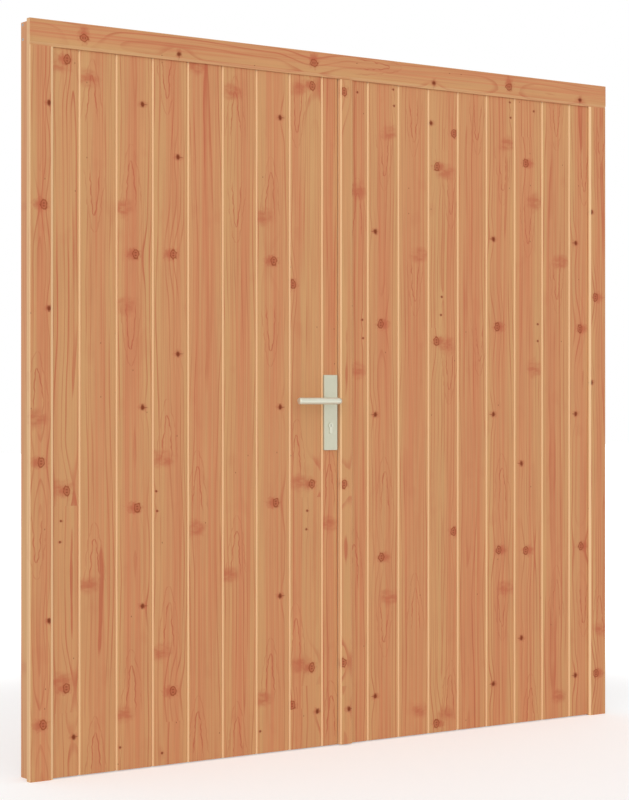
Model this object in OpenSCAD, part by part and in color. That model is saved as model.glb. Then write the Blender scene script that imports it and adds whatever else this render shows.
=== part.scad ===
// Double wooden gate: two boarded leaves in a rebated frame with casing boards, all sizes in millimetres.
// X runs along the gate, Y from the boarded front to the framed back, Z up from the floor.
// The origin is on the floor, midway between the casing boards and on the middle plane of the leaves.

/* [Gate] */
// Overall width across the side casing boards
gate_w = 2100; // [1960:10:2300]
// Overall height to the top of the top casing board
gate_h = 2050; // [1900:10:2300]

/* [Casing boards] */
// Width of a side casing board
casing_w = 66; // [56:1:80]
// Height of the top casing board
top_casing_h = 66; // [56:1:80]
// Thickness of the casing boards
casing_t = 18; // [15:0.5:22]
// Width of the shallow bevel on the edges of the casing boards that face the leaves
casing_bevel = 8; // [3:0.5:10]
// Depth of that bevel
casing_bevel_d = 3; // [1:0.5:4]
// Arris taken off the other front edges of the casing boards
casing_arris = 1.5; // [0.5:0.5:3]
// How far a side casing board laps past the outer face of its post
casing_lap = 19; // [10:1:24]
// How far the casing boards lap into the opening, in front of the edges of the leaves
casing_lip = 5.5; // [5:0.5:8]

/* [Frame] */
// Depth of the posts and the head from the back of the casing boards
post_d = 70; // [66:1:95]
// Width of the rebate that the leaf frames close into
rebate_w = 12; // [8:0.5:16]
// Length of the stub tenons at the ends of the head
head_tenon_l = 20; // [12:1:24]
// Thickness of the head tenons across the wall
head_tenon_t = 24; // [16:1:30]
// Height of the head tenons
head_tenon_h = 28; // [16:1:34]
// Height between the fixing holes of a post
fixing_pitch = 700; // [500:10:800]
// Radius of the fixing holes through the posts
fixing_hole_r = 5; // [3:0.5:6]

/* [Leaves] */
// Gap between a leaf and the frame at its hinge side
edge_gap = 3; // [2.5:0.5:5]
// Gap between a leaf and the head
top_gap = 4; // [2:0.5:8]
// Gap between a leaf and the floor
floor_gap = 3; // [2:0.5:20]
// Gap between the two leaves
meeting_gap = 3; // [3:0.25:5]
// Distance of the meeting gap from the middle of the gate, towards the active leaf
meeting_offset = 25; // [22:0.5:30]
// Gap between the leaf frames and the rebate they stop against
stop_gap = 1; // [0.5:0.25:3]
// How far the boards stand back from the front of the casing boards
board_setback = 8; // [7:0.5:16]

/* [Boards] */
// Thickness of the tongue and groove boards
board_t = 18; // [16:0.5:22]
// Cover width of the two boards at the edges of a leaf, with equal boards between them
edge_board_w = 84.5; // [82:0.5:88]
// Depth of the V bevel on the front edges of a board
board_bevel = 4; // [1:0.25:5]
// Thickness of a board's tongue
tongue_t = 5; // [4:0.25:6]
// Length of a board's tongue
tongue_l = 7; // [5:0.5:8]
// Gap left between neighbouring boards
board_gap = 0.3; // [0.1:0.1:1]

/* [Leaf frame] */
// Thickness of the stiles, rails and braces behind the boards
rail_t = 28; // [26:0.5:34]
// Width of the stiles
stile_w = 95; // [90:1:110]
// Height of the rails
rail_h = 120; // [100:1:145]
// Height of the bottom rail's lower edge above the bottom of the leaf
bottom_rail_lift = 60; // [40:1:120]
// Height of the middle rail's centre above the floor
middle_rail_z = 1000; // [900:5:1150]
// Length of the rail tenons
tenon_l = 30; // [20:1:32]
// Thickness of the rail tenons
tenon_t = 10; // [8:0.5:12]
// Height taken off each side of a rail to form its tenon
tenon_shoulder = 15; // [10:1:25]
// Length of a brace's cut end along the rail
brace_foot = 125; // [90:1:160]

/* [Meeting strip] */
// Width of the strip on the passive leaf
strip_w = 43; // [36:1:50]
// Thickness of the strip
strip_t = 13; // [12:0.5:22]
// Bevel on the strip's front edges
strip_bevel = 3; // [1:0.5:5]
// Gap between the top of the strip and the top casing board
strip_top_gap = 2; // [1:0.5:6]

/* [Handle] */
// Height of the lever's axis above the floor
lever_z = 1022; // [960:1:1080]
// Distance of the lever's axis from the edge of the leaf
backset = 30; // [28:0.5:32]
// Width of a handle plate
plate_w = 48; // [42:0.5:50]
// Height of a handle plate
plate_h = 222; // [212:1:240]
// Thickness of a handle plate
plate_t = 7; // [6:0.5:9]
// Distance from the lever's axis up to the top of a handle plate
plate_rise = 77; // [74:0.5:85]
// Radius of a handle plate's corners
plate_corner_r = 2; // [1:0.5:6]
// Radius of the lever's round bar
lever_r = 10; // [8:0.5:10.5]
// Radius of the lever's neck
neck_r = 9; // [8:0.25:9.5]
// Length of the lever from its axis to its free end
lever_l = 150; // [120:1:170]
// Distance from the handle plate to the middle of the lever's bar
lever_standoff = 50; // [44:1:60]
// Radius of the bend between the neck and the bar, at its middle
lever_bend_r = 13; // [11:0.5:18]
// Side of the square spindle
spindle_w = 8; // [7:0.5:9]

/* [Lock] */
// Distance from the lever's axis down to the cylinder's axis
lock_centres = 72; // [70:0.5:80]
// Radius of the lock cylinder's round part
cylinder_r = 8.5; // [8:0.25:9]
// Width of the lock cylinder's flat lobe
cylinder_lobe_w = 10; // [9:0.5:11]
// Overall height of the lock cylinder's outline
cylinder_h = 33; // [32:0.25:34]
// How far the lock cylinder stands out of a handle plate
cylinder_proud = 2; // [0.5:0.5:4]
// Radius of the plug that the key turns
plug_r = 6.5; // [5.5:0.25:7]
// Radius of the cam between the two plugs
cam_r = 15; // [13:0.25:15.5]
// Thickness of the lock case
case_t = 16; // [14:0.5:18]
// Thickness of the lock case's walls
case_wall = 1.5; // [1:0.25:2]
// Depth of the lock case behind the lever's axis
case_back = 17; // [16:0.5:20]
// Height of the lock case above the lever's axis
case_rise = 48; // [44:1:52]
// Depth of the lock case below the cylinder's axis
case_drop = 45; // [40:1:52]
// Width of the lock's face plate
forend_w = 20; // [18:0.5:24]
// Height of the lock's face plate
forend_h = 235; // [215:1:250]
// Thickness of the lock's face plate and of the strike plate
forend_t = 3; // [2:0.5:4]
// Thickness of the latch bolt
latch_t = 11; // [9:0.5:12]
// Height of the latch bolt
latch_h = 17; // [14:0.5:20]
// How far the latch bolt stands out of the lock
latch_out = 12; // [9:0.5:12]
// Radius from the lever's axis to the middle of the follower's finger
finger_reach = 18; // [17.5:0.25:19]
// Thickness of the dead bolt
dead_bolt_t = 10; // [8:0.5:12]
// Height of the dead bolt
dead_bolt_h = 32; // [26:0.5:34]
// Length of the dead bolt
dead_bolt_l = 34; // [30:0.5:40]
// How far the key throws the dead bolt
dead_bolt_throw = 20; // [12:0.5:20]
// Distance from the lever's axis down to the middle of the dead bolt
dead_bolt_drop = 37; // [35:0.5:38]
// Height of the strike plate
strike_h = 180; // [170:1:220]
// Width of the strike plate
strike_w = 24; // [20:0.5:26]

/* [Hinges] */
// Radius of the hinge knuckles
knuckle_r = 7; // [6:0.25:8]
// Radius of the hinge pins
pin_r = 4; // [3:0.25:4.5]
// Thickness of the hinge plates and straps
hinge_t = 3; // [2:0.25:4]
// Height of the strap at its knuckle
strap_h = 35; // [30:1:45]
// Height of the strap at its rounded end
strap_end_h = 20; // [14:1:28]
// Length of the strap from the pin
strap_l = 380; // [330:5:420]
// Height of each knuckle on the post
post_knuckle_h = 20; // [14:1:26]
// Height of the hinge plate on the post
flange_h = 120; // [110:1:140]
// Width of the hinge plate on the post
flange_w = 20; // [17:0.5:21]

/* [Slide bolts] */
// Radius of the slide bolts
bolt_r = 6; // [5:0.25:7]
// Length of the slide bolts
bolt_l = 180; // [160:1:220]
// Travel of the slide bolts
bolt_travel = 25; // [15:1:28]
// Width of a slide bolt's back plate
bolt_plate_w = 40; // [36:1:44]
// Height of a slide bolt's back plate
bolt_plate_h = 150; // [140:1:170]
// Height of each guide block of a slide bolt
guide_h = 12; // [8:0.5:16]
// How far a drawn slide bolt stays behind the edge of the leaf
bolt_inset = 4; // [2:0.5:10]

/* [Screws] */
// Radius of a screw's shank
screw_r = 2; // [1.5:0.25:2.5]
// Radius of a screw's countersunk head
screw_head_r = 4; // [3.5:0.25:4.5]
// Depth of a screw's head
screw_head_h = 2.5; // [2:0.25:3]
// Length that a board screw enters the board
board_screw_bite = 11; // [7:0.5:12]
// Height of the board screws above and below the middle of a rail
board_screw_rise = 35; // [30:1:44]

/* [Clearances] */
// Clearance of a shaft that turns in its bore
running_gap = 0.06; // [0.03:0.01:0.1]
// Clearance around a fixed piece in its hole or mortise
seat_gap = 0.1; // [0.05:0.05:0.3]
// Clearance around a sliding piece and between pieces that turn past each other
slide_gap = 0.3; // [0.2:0.05:0.5]

/* [Hidden] */
full_boards = 7;
cut = 1;
screw_fn = 24;
round_fn = 64;
wood_front = [0.78, 0.55, 0.38];
wood_back = [0.74, 0.53, 0.37];
wood_casing = [0.80, 0.57, 0.40];
satin_metal = [0.82, 0.81, 0.74];
steel = [0.62, 0.63, 0.64];
dark_steel = [0.45, 0.46, 0.47];
brass = [0.76, 0.66, 0.42];

// Depths from front to back, with the middle of the leaf at zero
leaf_t = board_t + rail_t;
board_y0 = -leaf_t / 2;
board_y1 = board_y0 + board_t;
rail_y1 = leaf_t / 2;
casing_y0 = board_y0 - board_setback;
casing_y1 = casing_y0 + casing_t;
post_y1 = casing_y1 + post_d;
rebate_y = board_y1 - stop_gap;
strip_y0 = board_y0 - strip_t;
lock_y = (board_y1 + rail_y1) / 2;

// Frame opening
opening_x = gate_w / 2 - casing_w;
post_x = gate_w / 2 - casing_lap;
rebate_x = opening_x + rebate_w;
opening_z = gate_h - top_casing_h;
rebate_z = opening_z + rebate_w;
fixing_y = (rebate_y + rail_y1) / 2;
head_tenon_y = (rebate_y + post_y1) / 2 - head_tenon_t / 2;
head_tenon_z = (rebate_z + gate_h) / 2 - head_tenon_h / 2;
head_screw_edge = 7;
head_screw_side = 9;
head_screw_l = 80;
casing_screw_bite = 12;
casing_screw_l = rebate_y - casing_y1 + casing_screw_bite;

// Leaf outline, written for a leaf hinged on the left
board_edge_x = opening_x - edge_gap;
stile_edge_x = rebate_x - edge_gap;
board_top = opening_z - top_gap;
lip_y1 = board_y0 - stop_gap;
lip_z = opening_z - casing_lip;
strip_top = lip_z - strip_top_gap;
rail_top = rebate_z - top_gap;
active_edge = -meeting_offset - meeting_gap / 2;
passive_edge = -meeting_offset + meeting_gap / 2;
board_pitch = (board_edge_x - 2 * edge_board_w) / full_boards;
hinge_stile_in = -stile_edge_x + stile_w;
bottom_rail_z = floor_gap + bottom_rail_lift + rail_h / 2;
top_rail_z = rail_top - rail_h / 2;
rail_zs = [bottom_rail_z, middle_rail_z, top_rail_z];
stile_screw_zs = [
    for (part = [0, 1], share = [0.3, 0.7])
        rail_zs[part] + share * (rail_zs[part + 1] - rail_zs[part])
];
strip_screw_zs = [for (share = [0.08, 0.3, 0.62, 0.8, 0.93]) floor_gap + share * (board_top - floor_gap)];

// Hinges
knuckle_gap = 0.5;
hinge_x = rebate_x - knuckle_r - knuckle_gap;
hinge_y = rail_y1 + knuckle_r + knuckle_gap;
hinge_zs = rail_zs;
flange_screw_y = hinge_y + flange_w * 0.65;
flange_screw_dz = [-0.4, -0.25, 0.25, 0.4] * flange_h;
flange_screw_cover = 10;
flange_screw_l = hinge_t + post_x - rebate_x - flange_screw_cover;
pin_head_h = 3;
pin_head_rim = 2;
pin_tail = 2;
strap_root = 2;
strap_relief = 0.5;
strap_screw_us = [for (share = [0.075, 0.365, 0.655, 0.93]) share * strap_l];

// Handle and lock
lever_x = active_edge - backset;
plate_y = leaf_t / 2;
plate_z1 = lever_z + plate_rise;
plate_z0 = plate_z1 - plate_h;
plate_face = plate_y + plate_t;
neck_seat = plate_t / 2;
bar_y = plate_face + lever_standoff;
neck_cone_h = 6;
lever_nose = 2.5;
lever_nose_taper = 2;
plate_bolt_r = 2.5;
plate_bolt_head_r = 4.5;
plate_bolt_head_h = 2;
plate_bolt_sink = 0.5;
plate_bolt_skin = 2;
plate_bolt_edge = 11;
plate_bolt_zs = [plate_z0 + plate_bolt_edge, plate_z1 - plate_bolt_edge];
cylinder_z = lever_z - lock_centres;
cylinder_drop = cylinder_h - cylinder_r;
cylinder_y = plate_face + cylinder_proud;
cylinder_screw_rise = 5.5;
cylinder_screw_past = 3;
cam_slot = 10;
cam_w = 6;
keyway_w = 1.6;
keyway_l = 12;
keyway_foot = 1.5;
keyway_top = 2.5;
case_x0 = lever_x - case_back;
case_z0 = cylinder_z - case_drop;
case_z1 = lever_z + case_rise;
forend_z = (case_z0 + case_z1) / 2;
finger_r = 3;
finger_start = 20;
follower_r = 9;
latch_z0 = lever_z + finger_reach + finger_r + 0.5;
latch_z = latch_z0 + latch_h / 2;
latch_stub_x = lever_x + finger_reach * sin(finger_start) - finger_r - slide_gap;
latch_stub_w = 3.5;
latch_stub_z = lever_z + finger_reach - 4;
dead_bolt_z = lever_z - dead_bolt_drop;
latch_nose_flat = 2;
latch_bevel_start = 1;
strike_z = (latch_z + dead_bolt_z) / 2;
pocket_gap = 1;
latch_pocket_spare = 4;
dead_pocket_spare = 2;
lock_hole_r = follower_r + 1;
edge_screw_l = 25;
forend_screw_edge = 11;
strike_screw_edge = 9;
strip_screw_bite = 9;

// Slide bolts
bolt_lift = 1;
bolt_x = passive_edge + stile_w / 2;
bolt_y = rail_y1 + hinge_t + bolt_lift + bolt_r;
bolt_knob_r = 5;
bolt_knob_l = 14;
bolt_plate_gap = 15;
bolt_plate_r = 3;
guide_side = 5;
guide_back = 4;
guide_root = 0.5;
guide_inset = 25;
bolt_screw_x = bolt_plate_w / 2 - 6;
bolt_screw_z = bolt_plate_h / 2 - 9;
bolt_screw_l = 20;
keep_w = 34;
keep_d = 28;
keep_gap = 0.6;
keep_screw_x = keep_w / 2 - 5.5;
keep_screw_l = 20;
bolt_hole_gap = 1;
bolt_hole_spare = 5;

// Basic shapes

// A box between two corners
module box(low, high) {
    translate(low) cube(high - low);
}

// Turns a shape built along +Z so that it runs along +Y
module along_y() {
    rotate([-90, 0, 0]) children();
}

// A shape and its mirror image across the middle of the gate
module both_sides() {
    children();
    mirror([1, 0, 0]) children();
}

// Countersunk screw with its head's face at zero and its point down at -l, grown by a clearance
module screw(l, gap = 0) {
    translate([0, 0, -l - gap]) cylinder(h = l + gap, r = screw_r + gap, $fn = screw_fn);
    translate([0, 0, -screw_head_h])
        cylinder(h = screw_head_h, r1 = screw_r + gap, r2 = screw_head_r + gap, $fn = screw_fn);
    if (gap > 0)
        cylinder(h = cut, r = screw_head_r + gap, $fn = screw_fn);
}

// A screw driven from the back at a place on the back face y
module back_screw(x, y, z, l, gap = 0) {
    translate([x, y, z]) along_y() screw(l, gap);
}

// Round-cornered plate in the XZ plane from y0 to y0 + t
module rounded_plate(w, h, t, r, x, y0, z) {
    translate([x, y0 + t, z]) rotate([90, 0, 0]) linear_extrude(t) {
        square([w - 2 * r, h], center = true);
        square([w, h - 2 * r], center = true);
        for (i = [-1, 1], j = [-1, 1])
            translate([i * (w / 2 - r), j * (h / 2 - r)]) circle(r = r, $fn = 32);
    }
}

// Frame

// Front-to-back outline of a post at the left, with its rebate
module post_outline() {
    polygon([
        [-post_x, casing_y1], [-opening_x, casing_y1], [-opening_x, rebate_y],
        [-rebate_x, rebate_y], [-rebate_x, post_y1], [-post_x, post_y1]
    ]);
}

// Stub tenon of the head at the left, grown by a clearance
module head_tenon(gap = 0) {
    box([-rebate_x - head_tenon_l - gap, head_tenon_y - gap, head_tenon_z - gap],
        [-rebate_x + cut, head_tenon_y + head_tenon_t + gap, head_tenon_z + head_tenon_h + gap]);
}

// Screws through the left post into the end of the head
module head_screws(gap = 0) {
    for (z = [rebate_z + head_screw_edge, gate_h - head_screw_edge])
        translate([-post_x, head_tenon_y + head_tenon_t + head_screw_side, z]) rotate([0, -90, 0])
            screw(head_screw_l, gap);
}

// Screws from the rebate of the left post into its casing board
module side_casing_screws(gap = 0) {
    for (share = [0.06, 0.28, 0.5, 0.72, 0.94])
        back_screw(-(opening_x + rebate_x) / 2, rebate_y, share * opening_z, casing_screw_l, gap);
}

// Screws from the head's rebate into the top casing board
module top_casing_screws(gap = 0) {
    for (share = [-0.9, -0.54, -0.18, 0.18, 0.54, 0.9])
        back_screw(share * opening_x, rebate_y, (opening_z + rebate_z) / 2, casing_screw_l, gap);
}

// Screws through the post's hinge plates at the left
module flange_screws(gap = 0) {
    for (z = hinge_zs, dz = flange_screw_dz)
        translate([-rebate_x + hinge_t, flange_screw_y, z + dz]) rotate([0, 90, 0])
            screw(flange_screw_l, gap);
}

// Left post with its fixing holes, its mortise and its screw holes
module left_post_body() {
    difference() {
        linear_extrude(gate_h) post_outline();
        head_tenon(seat_gap);
        head_screws(seat_gap);
        side_casing_screws(seat_gap);
        flange_screws(seat_gap);
        for (i = [-1, 0, 1])
            translate([-post_x - cut, fixing_y, gate_h / 2 + i * fixing_pitch]) rotate([0, 90, 0])
                cylinder(h = post_x, r = fixing_hole_r, $fn = round_fn);
    }
}

module left_post() {
    color(wood_back) left_post_body();
}

module right_post() {
    color(wood_back) mirror([1, 0, 0]) left_post_body();
}

// Head between the posts, rebated like them, with the hole for the top slide bolt
module head_rail() {
    color(wood_back) difference() {
        union() {
            box([-opening_x, casing_y1, opening_z], [opening_x, rebate_y, gate_h]);
            box([-rebate_x, rebate_y, rebate_z], [rebate_x, post_y1, gate_h]);
            both_sides() head_tenon();
        }
        both_sides() head_screws(seat_gap);
        top_casing_screws(seat_gap);
        head_keep_outline(seat_gap, cut);
        translate([bolt_x, bolt_y, rebate_z])
            cylinder(h = bolt_travel + bolt_hole_spare, r = bolt_r + bolt_hole_gap, $fn = round_fn);
        keep_screws(seat_gap);
    }
}

// Long board along +Z from x = 0, with an arris at its outer edge and a bevelled lip past its width w
module casing_profile(w, l) {
    tip = w + casing_lip;
    linear_extrude(l) polygon([
        [0, casing_y1], [0, casing_y0 + casing_arris], [casing_arris, casing_y0],
        [tip - casing_bevel, casing_y0], [tip, casing_y0 + casing_bevel_d], [tip, lip_y1],
        [w, lip_y1], [w, casing_y1]
    ]);
}

// Left casing board, half lapped behind the lip of the top one
module left_casing_body() {
    difference() {
        translate([-gate_w / 2, 0, 0]) casing_profile(casing_w, opening_z);
        box([-gate_w / 2 - cut, casing_y0 - cut, lip_z],
            [-opening_x + casing_lip + cut, lip_y1, opening_z + cut]);
        side_casing_screws(seat_gap);
    }
}

module left_casing() {
    color(wood_casing) left_casing_body();
}

module right_casing() {
    color(wood_casing) mirror([1, 0, 0]) left_casing_body();
}

// Top casing board, lying over the ends of both side boards
module top_casing() {
    color(wood_casing) difference() {
        translate([-gate_w / 2, 0, gate_h]) rotate([0, 90, 0]) casing_profile(top_casing_h, gate_w);
        top_casing_screws(seat_gap);
    }
}

// Hinge plate on the left post: two knuckles with room for the strap's knuckle between them
module post_hinge_plate(z) {
    gap_h = strap_h + 2 * slide_gap;
    translate([-hinge_x, hinge_y, z]) difference() {
        union() {
            box([-knuckle_r - knuckle_gap, 0, -flange_h / 2],
                [-knuckle_r - knuckle_gap + hinge_t, flange_w, flange_h / 2]);
            for (side = [-1, 1])
                translate([0, 0, side * (gap_h + post_knuckle_h) / 2])
                    cylinder(h = post_knuckle_h, r = knuckle_r, center = true, $fn = round_fn);
        }
        translate([0, 0, gap_h / 2 + post_knuckle_h])
            cylinder(h = pin_head_h + slide_gap, r = pin_r + pin_head_rim + slide_gap, $fn = round_fn);
        box([-knuckle_r - knuckle_gap - cut, -cut, -gap_h / 2], [0, knuckle_r + cut, gap_h / 2]);
        cylinder(h = flange_h, r = pin_r + running_gap, center = true, $fn = round_fn);
    }
}

module post_hinge_plates() {
    color(steel) both_sides() difference() {
        for (z = hinge_zs) post_hinge_plate(z);
        flange_screws(seat_gap);
    }
}

// Headed hinge pins
module hinge_pins() {
    stack_h = strap_h + 2 * slide_gap + 2 * post_knuckle_h;
    color(dark_steel) both_sides() for (z = hinge_zs) translate([-hinge_x, hinge_y, z]) {
        cylinder(h = stack_h + 2 * pin_tail, r = pin_r, center = true, $fn = round_fn);
        translate([0, 0, stack_h / 2]) cylinder(h = pin_head_h, r = pin_r + pin_head_rim, $fn = round_fn);
    }
}

module frame_screws() {
    color(steel) {
        both_sides() {
            head_screws();
            side_casing_screws();
            flange_screws();
        }
        top_casing_screws();
        keep_screws();
    }
}

// Plate let into the head's rebate around the top slide bolt's hole
module head_keep_outline(gap = 0, below = 0) {
    box([bolt_x - keep_w / 2 - gap, bolt_y - keep_d / 2 - gap, rebate_z - below],
        [bolt_x + keep_w / 2 + gap, bolt_y + keep_d / 2 + gap, rebate_z + hinge_t + gap]);
}

module keep_screws(gap = 0) {
    for (side = [-1, 1])
        translate([bolt_x + side * keep_screw_x, bolt_y, rebate_z]) rotate([180, 0, 0])
            screw(keep_screw_l, gap);
}

module head_keep() {
    color(steel) difference() {
        head_keep_outline();
        translate([bolt_x, bolt_y, rebate_z - cut])
            cylinder(h = hinge_t + 2 * cut, r = bolt_r + keep_gap, $fn = round_fn);
        keep_screws(seat_gap);
    }
}

// Leaves, written for the leaf hinged on the left; meet is the x of its meeting edge

function joint_x(k) = -board_edge_x + edge_board_w + k * board_pitch;
function board_left(k) = k == 0 ? -board_edge_x : joint_x(k - 1);
function board_right(k, meet) = k == full_boards + 1 ? meet : joint_x(k);
function board_mid(k, meet) = (board_left(k) + board_right(k, meet)) / 2;
function meeting_stile_in(meet) = meet - stile_w;

// Places of the screws that hold the boards: [x, z, true where the screw is in a rail or a brace]
function brace_z(x, meet, low, high) =
    let (a = hinge_stile_in + brace_foot / 2, b = meeting_stile_in(meet) - brace_foot / 2)
        low + (x - a) / (b - a) * (high - low);
function rail_edges(part) = [rail_zs[part] + rail_h / 2, rail_zs[part + 1] - rail_h / 2];
function rail_screws(k, meet) = [
    for (z = rail_zs, side = [-1, 1]) [board_mid(k, meet), z + side * board_screw_rise]
];
function brace_screws(k, meet) = [
    for (part = [0, 1])
        [board_mid(k, meet), brace_z(board_mid(k, meet), meet, rail_edges(part)[0], rail_edges(part)[1])]
];
function stile_screws(k, meet) = [for (z = stile_screw_zs) [board_mid(k, meet), z]];
function board_screws(k, meet) =
    k == 0 || k == full_boards + 1 ? stile_screws(k, meet)
    : k == 1 || k == full_boards ? rail_screws(k, meet)
    : concat(rail_screws(k, meet), brace_screws(k, meet));

module screws_at(places, gap = 0) {
    for (place = places)
        back_screw(place[0], rail_y1, place[1], rail_t + board_screw_bite, gap);
}

module all_board_screws(meet, gap = 0) {
    for (k = [0 : full_boards + 1]) screws_at(board_screws(k, meet), gap);
}

// Tongue and groove board k, with its groove on the left and its tongue on the right
module board(k, meet) {
    groove = k > 0;
    tongue = k <= full_boards;
    x0 = board_left(k) + (groove ? board_gap / 2 : 0);
    x1 = board_right(k, meet) - (tongue ? board_gap / 2 : 0);
    mid = (board_y0 + board_y1) / 2;
    half = tongue_t / 2;
    room = half + slide_gap / 2;
    deep = tongue_l + slide_gap;
    left_bevel = groove ? board_bevel : casing_arris;
    right_bevel = tongue ? board_bevel : casing_arris;
    difference() {
        translate([0, 0, floor_gap]) linear_extrude(board_top - floor_gap) polygon(concat(
            [[x0 + left_bevel, board_y0], [x1 - right_bevel, board_y0], [x1, board_y0 + right_bevel]],
            tongue ? [[x1, mid - half], [x1 + tongue_l, mid - half],
                      [x1 + tongue_l, mid + half], [x1, mid + half]] : [],
            [[x1, board_y1], [x0, board_y1]],
            groove ? [[x0, mid + room], [x0 + deep, mid + room],
                      [x0 + deep, mid - room], [x0, mid - room]] : [],
            [[x0, board_y0 + left_bevel]]
        ));
        screws_at(board_screws(k, meet), seat_gap);
    }
}

// Rail tenons: side -1 at the hinge stile, 1 at the meeting stile
module rail_tenon(z, meet, side, gap = 0) {
    x = side < 0 ? hinge_stile_in : meeting_stile_in(meet);
    half_h = rail_h / 2 - tenon_shoulder + gap;
    half_t = tenon_t / 2 + gap;
    box([x - (side < 0 ? tenon_l + gap : cut), lock_y - half_t, z - half_h],
        [x + (side < 0 ? cut : tenon_l + gap), lock_y + half_t, z + half_h]);
}

module rail(z, meet) {
    difference() {
        union() {
            box([hinge_stile_in, board_y1, z - rail_h / 2],
                [meeting_stile_in(meet), rail_y1, z + rail_h / 2]);
            rail_tenon(z, meet, -1);
            rail_tenon(z, meet, 1);
        }
        all_board_screws(meet, seat_gap);
        strap_screws(seat_gap);
    }
}

module hinge_stile(meet) {
    difference() {
        box([-stile_edge_x, board_y1, floor_gap], [hinge_stile_in, rail_y1, rail_top]);
        for (z = rail_zs) rail_tenon(z, meet, -1, seat_gap);
        for (k = [0, 1]) screws_at(board_screws(k, meet), seat_gap);
        strap_screws(seat_gap);
    }
}

module meeting_stile(meet) {
    difference() {
        box([meeting_stile_in(meet), board_y1, floor_gap], [meet, rail_y1, rail_top]);
        for (z = rail_zs) rail_tenon(z, meet, 1, seat_gap);
        for (k = [full_boards, full_boards + 1]) screws_at(board_screws(k, meet), seat_gap);
    }
}

// Two braces, each rising from the hinge side to the meeting side
module braces(meet) {
    a = hinge_stile_in;
    b = meeting_stile_in(meet);
    difference() {
        for (part = [0, 1])
            translate([0, rail_y1, 0]) rotate([90, 0, 0]) linear_extrude(rail_t) polygon([
                [a, rail_edges(part)[0]], [a + brace_foot, rail_edges(part)[0]],
                [b, rail_edges(part)[1]], [b - brace_foot, rail_edges(part)[1]]
            ]);
        for (k = [2 : full_boards - 1]) screws_at(brace_screws(k, meet), seat_gap);
    }
}

module strap_screws(gap = 0) {
    for (z = hinge_zs, u = strap_screw_us)
        back_screw(-hinge_x + u, rail_y1 + hinge_t, z, rail_t, gap);
}

// Tapering straps, each with its knuckle around the pin
module hinge_straps() {
    end_r = strap_end_h / 2;
    difference() {
        for (z = hinge_zs) translate([-hinge_x, 0, z]) {
            translate([0, rail_y1 + hinge_t, 0]) rotate([90, 0, 0]) linear_extrude(hinge_t) polygon(concat(
                [[-strap_root, strap_h / 2 - strap_relief], [-strap_root, -strap_h / 2 + strap_relief]],
                [for (a = [-90 : 15 : 90]) [strap_l - end_r + end_r * cos(a), end_r * sin(a)]]
            ));
            translate([0, hinge_y, 0]) cylinder(h = strap_h, r = knuckle_r, center = true, $fn = round_fn);
        }
        for (z = hinge_zs) translate([-hinge_x, hinge_y, z])
            cylinder(h = strap_h + 2 * cut, r = pin_r + running_gap, center = true, $fn = round_fn);
        strap_screws(seat_gap);
    }
}

// Active leaf

// Holes through the leaf for the spindle, the cylinder and the bolts of the handle plates
module handle_holes() {
    translate([lever_x, -leaf_t, lever_z]) along_y()
        cylinder(h = 2 * leaf_t, r = lock_hole_r, $fn = round_fn);
    cylinder_shape(-leaf_t, leaf_t, seat_gap);
    handle_bolt_shapes(seat_gap);
}

// Recess for the lock case and its face plate
module lock_recess(gap) {
    box([case_x0 - gap, lock_y - case_t / 2 - gap, case_z0 - gap],
        [active_edge + cut, lock_y + case_t / 2 + gap, case_z1 + gap]);
    box([active_edge - forend_t, lock_y - forend_w / 2 - gap, forend_z - forend_h / 2 - gap],
        [active_edge + cut, lock_y + forend_w / 2 + gap, forend_z + forend_h / 2 + gap]);
}

module active_board(k) {
    color(wood_front) difference() {
        board(k, active_edge);
        if (k >= full_boards) handle_holes();
    }
}

module active_hinge_stile() {
    color(wood_back) hinge_stile(active_edge);
}

module active_meeting_stile() {
    color(wood_back) difference() {
        meeting_stile(active_edge);
        handle_holes();
        lock_recess(seat_gap);
        forend_screws(seat_gap);
    }
}

module active_top_rail() {
    color(wood_back) rail(top_rail_z, active_edge);
}

module active_middle_rail() {
    color(wood_back) rail(middle_rail_z, active_edge);
}

module active_bottom_rail() {
    color(wood_back) rail(bottom_rail_z, active_edge);
}

module active_braces() {
    color(wood_back) braces(active_edge);
}

module active_hinge_straps() {
    color(steel) hinge_straps();
}

module active_screws() {
    color(steel) {
        all_board_screws(active_edge);
        strap_screws();
        forend_screws();
        cylinder_screw();
    }
}

// Screws of the lock's face plate
module forend_screws(gap = 0) {
    for (side = [-1, 1])
        translate([active_edge, lock_y, forend_z + side * (forend_h / 2 - forend_screw_edge)])
            rotate([0, 90, 0]) screw(edge_screw_l, gap);
}

// Screw from the face plate into the foot of the cylinder
module cylinder_screw(gap = 0) {
    translate([active_edge, lock_y, cylinder_z - cylinder_drop + cylinder_screw_rise]) rotate([0, 90, 0])
        screw(backset + cylinder_screw_past, gap);
}

// Outline of the lock cylinder from y0 to y1, grown by a clearance
module cylinder_shape(y0, y1, gap = 0) {
    lobe_r = cylinder_lobe_w / 2 + gap;
    translate([lever_x, y0, cylinder_z]) {
        along_y() cylinder(h = y1 - y0, r = cylinder_r + gap, $fn = round_fn);
        translate([0, 0, -cylinder_drop + cylinder_lobe_w / 2]) along_y()
            cylinder(h = y1 - y0, r = lobe_r, $fn = round_fn);
        box([-lobe_r, 0, -cylinder_drop + cylinder_lobe_w / 2], [lobe_r, y1 - y0, 0]);
    }
}

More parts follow.
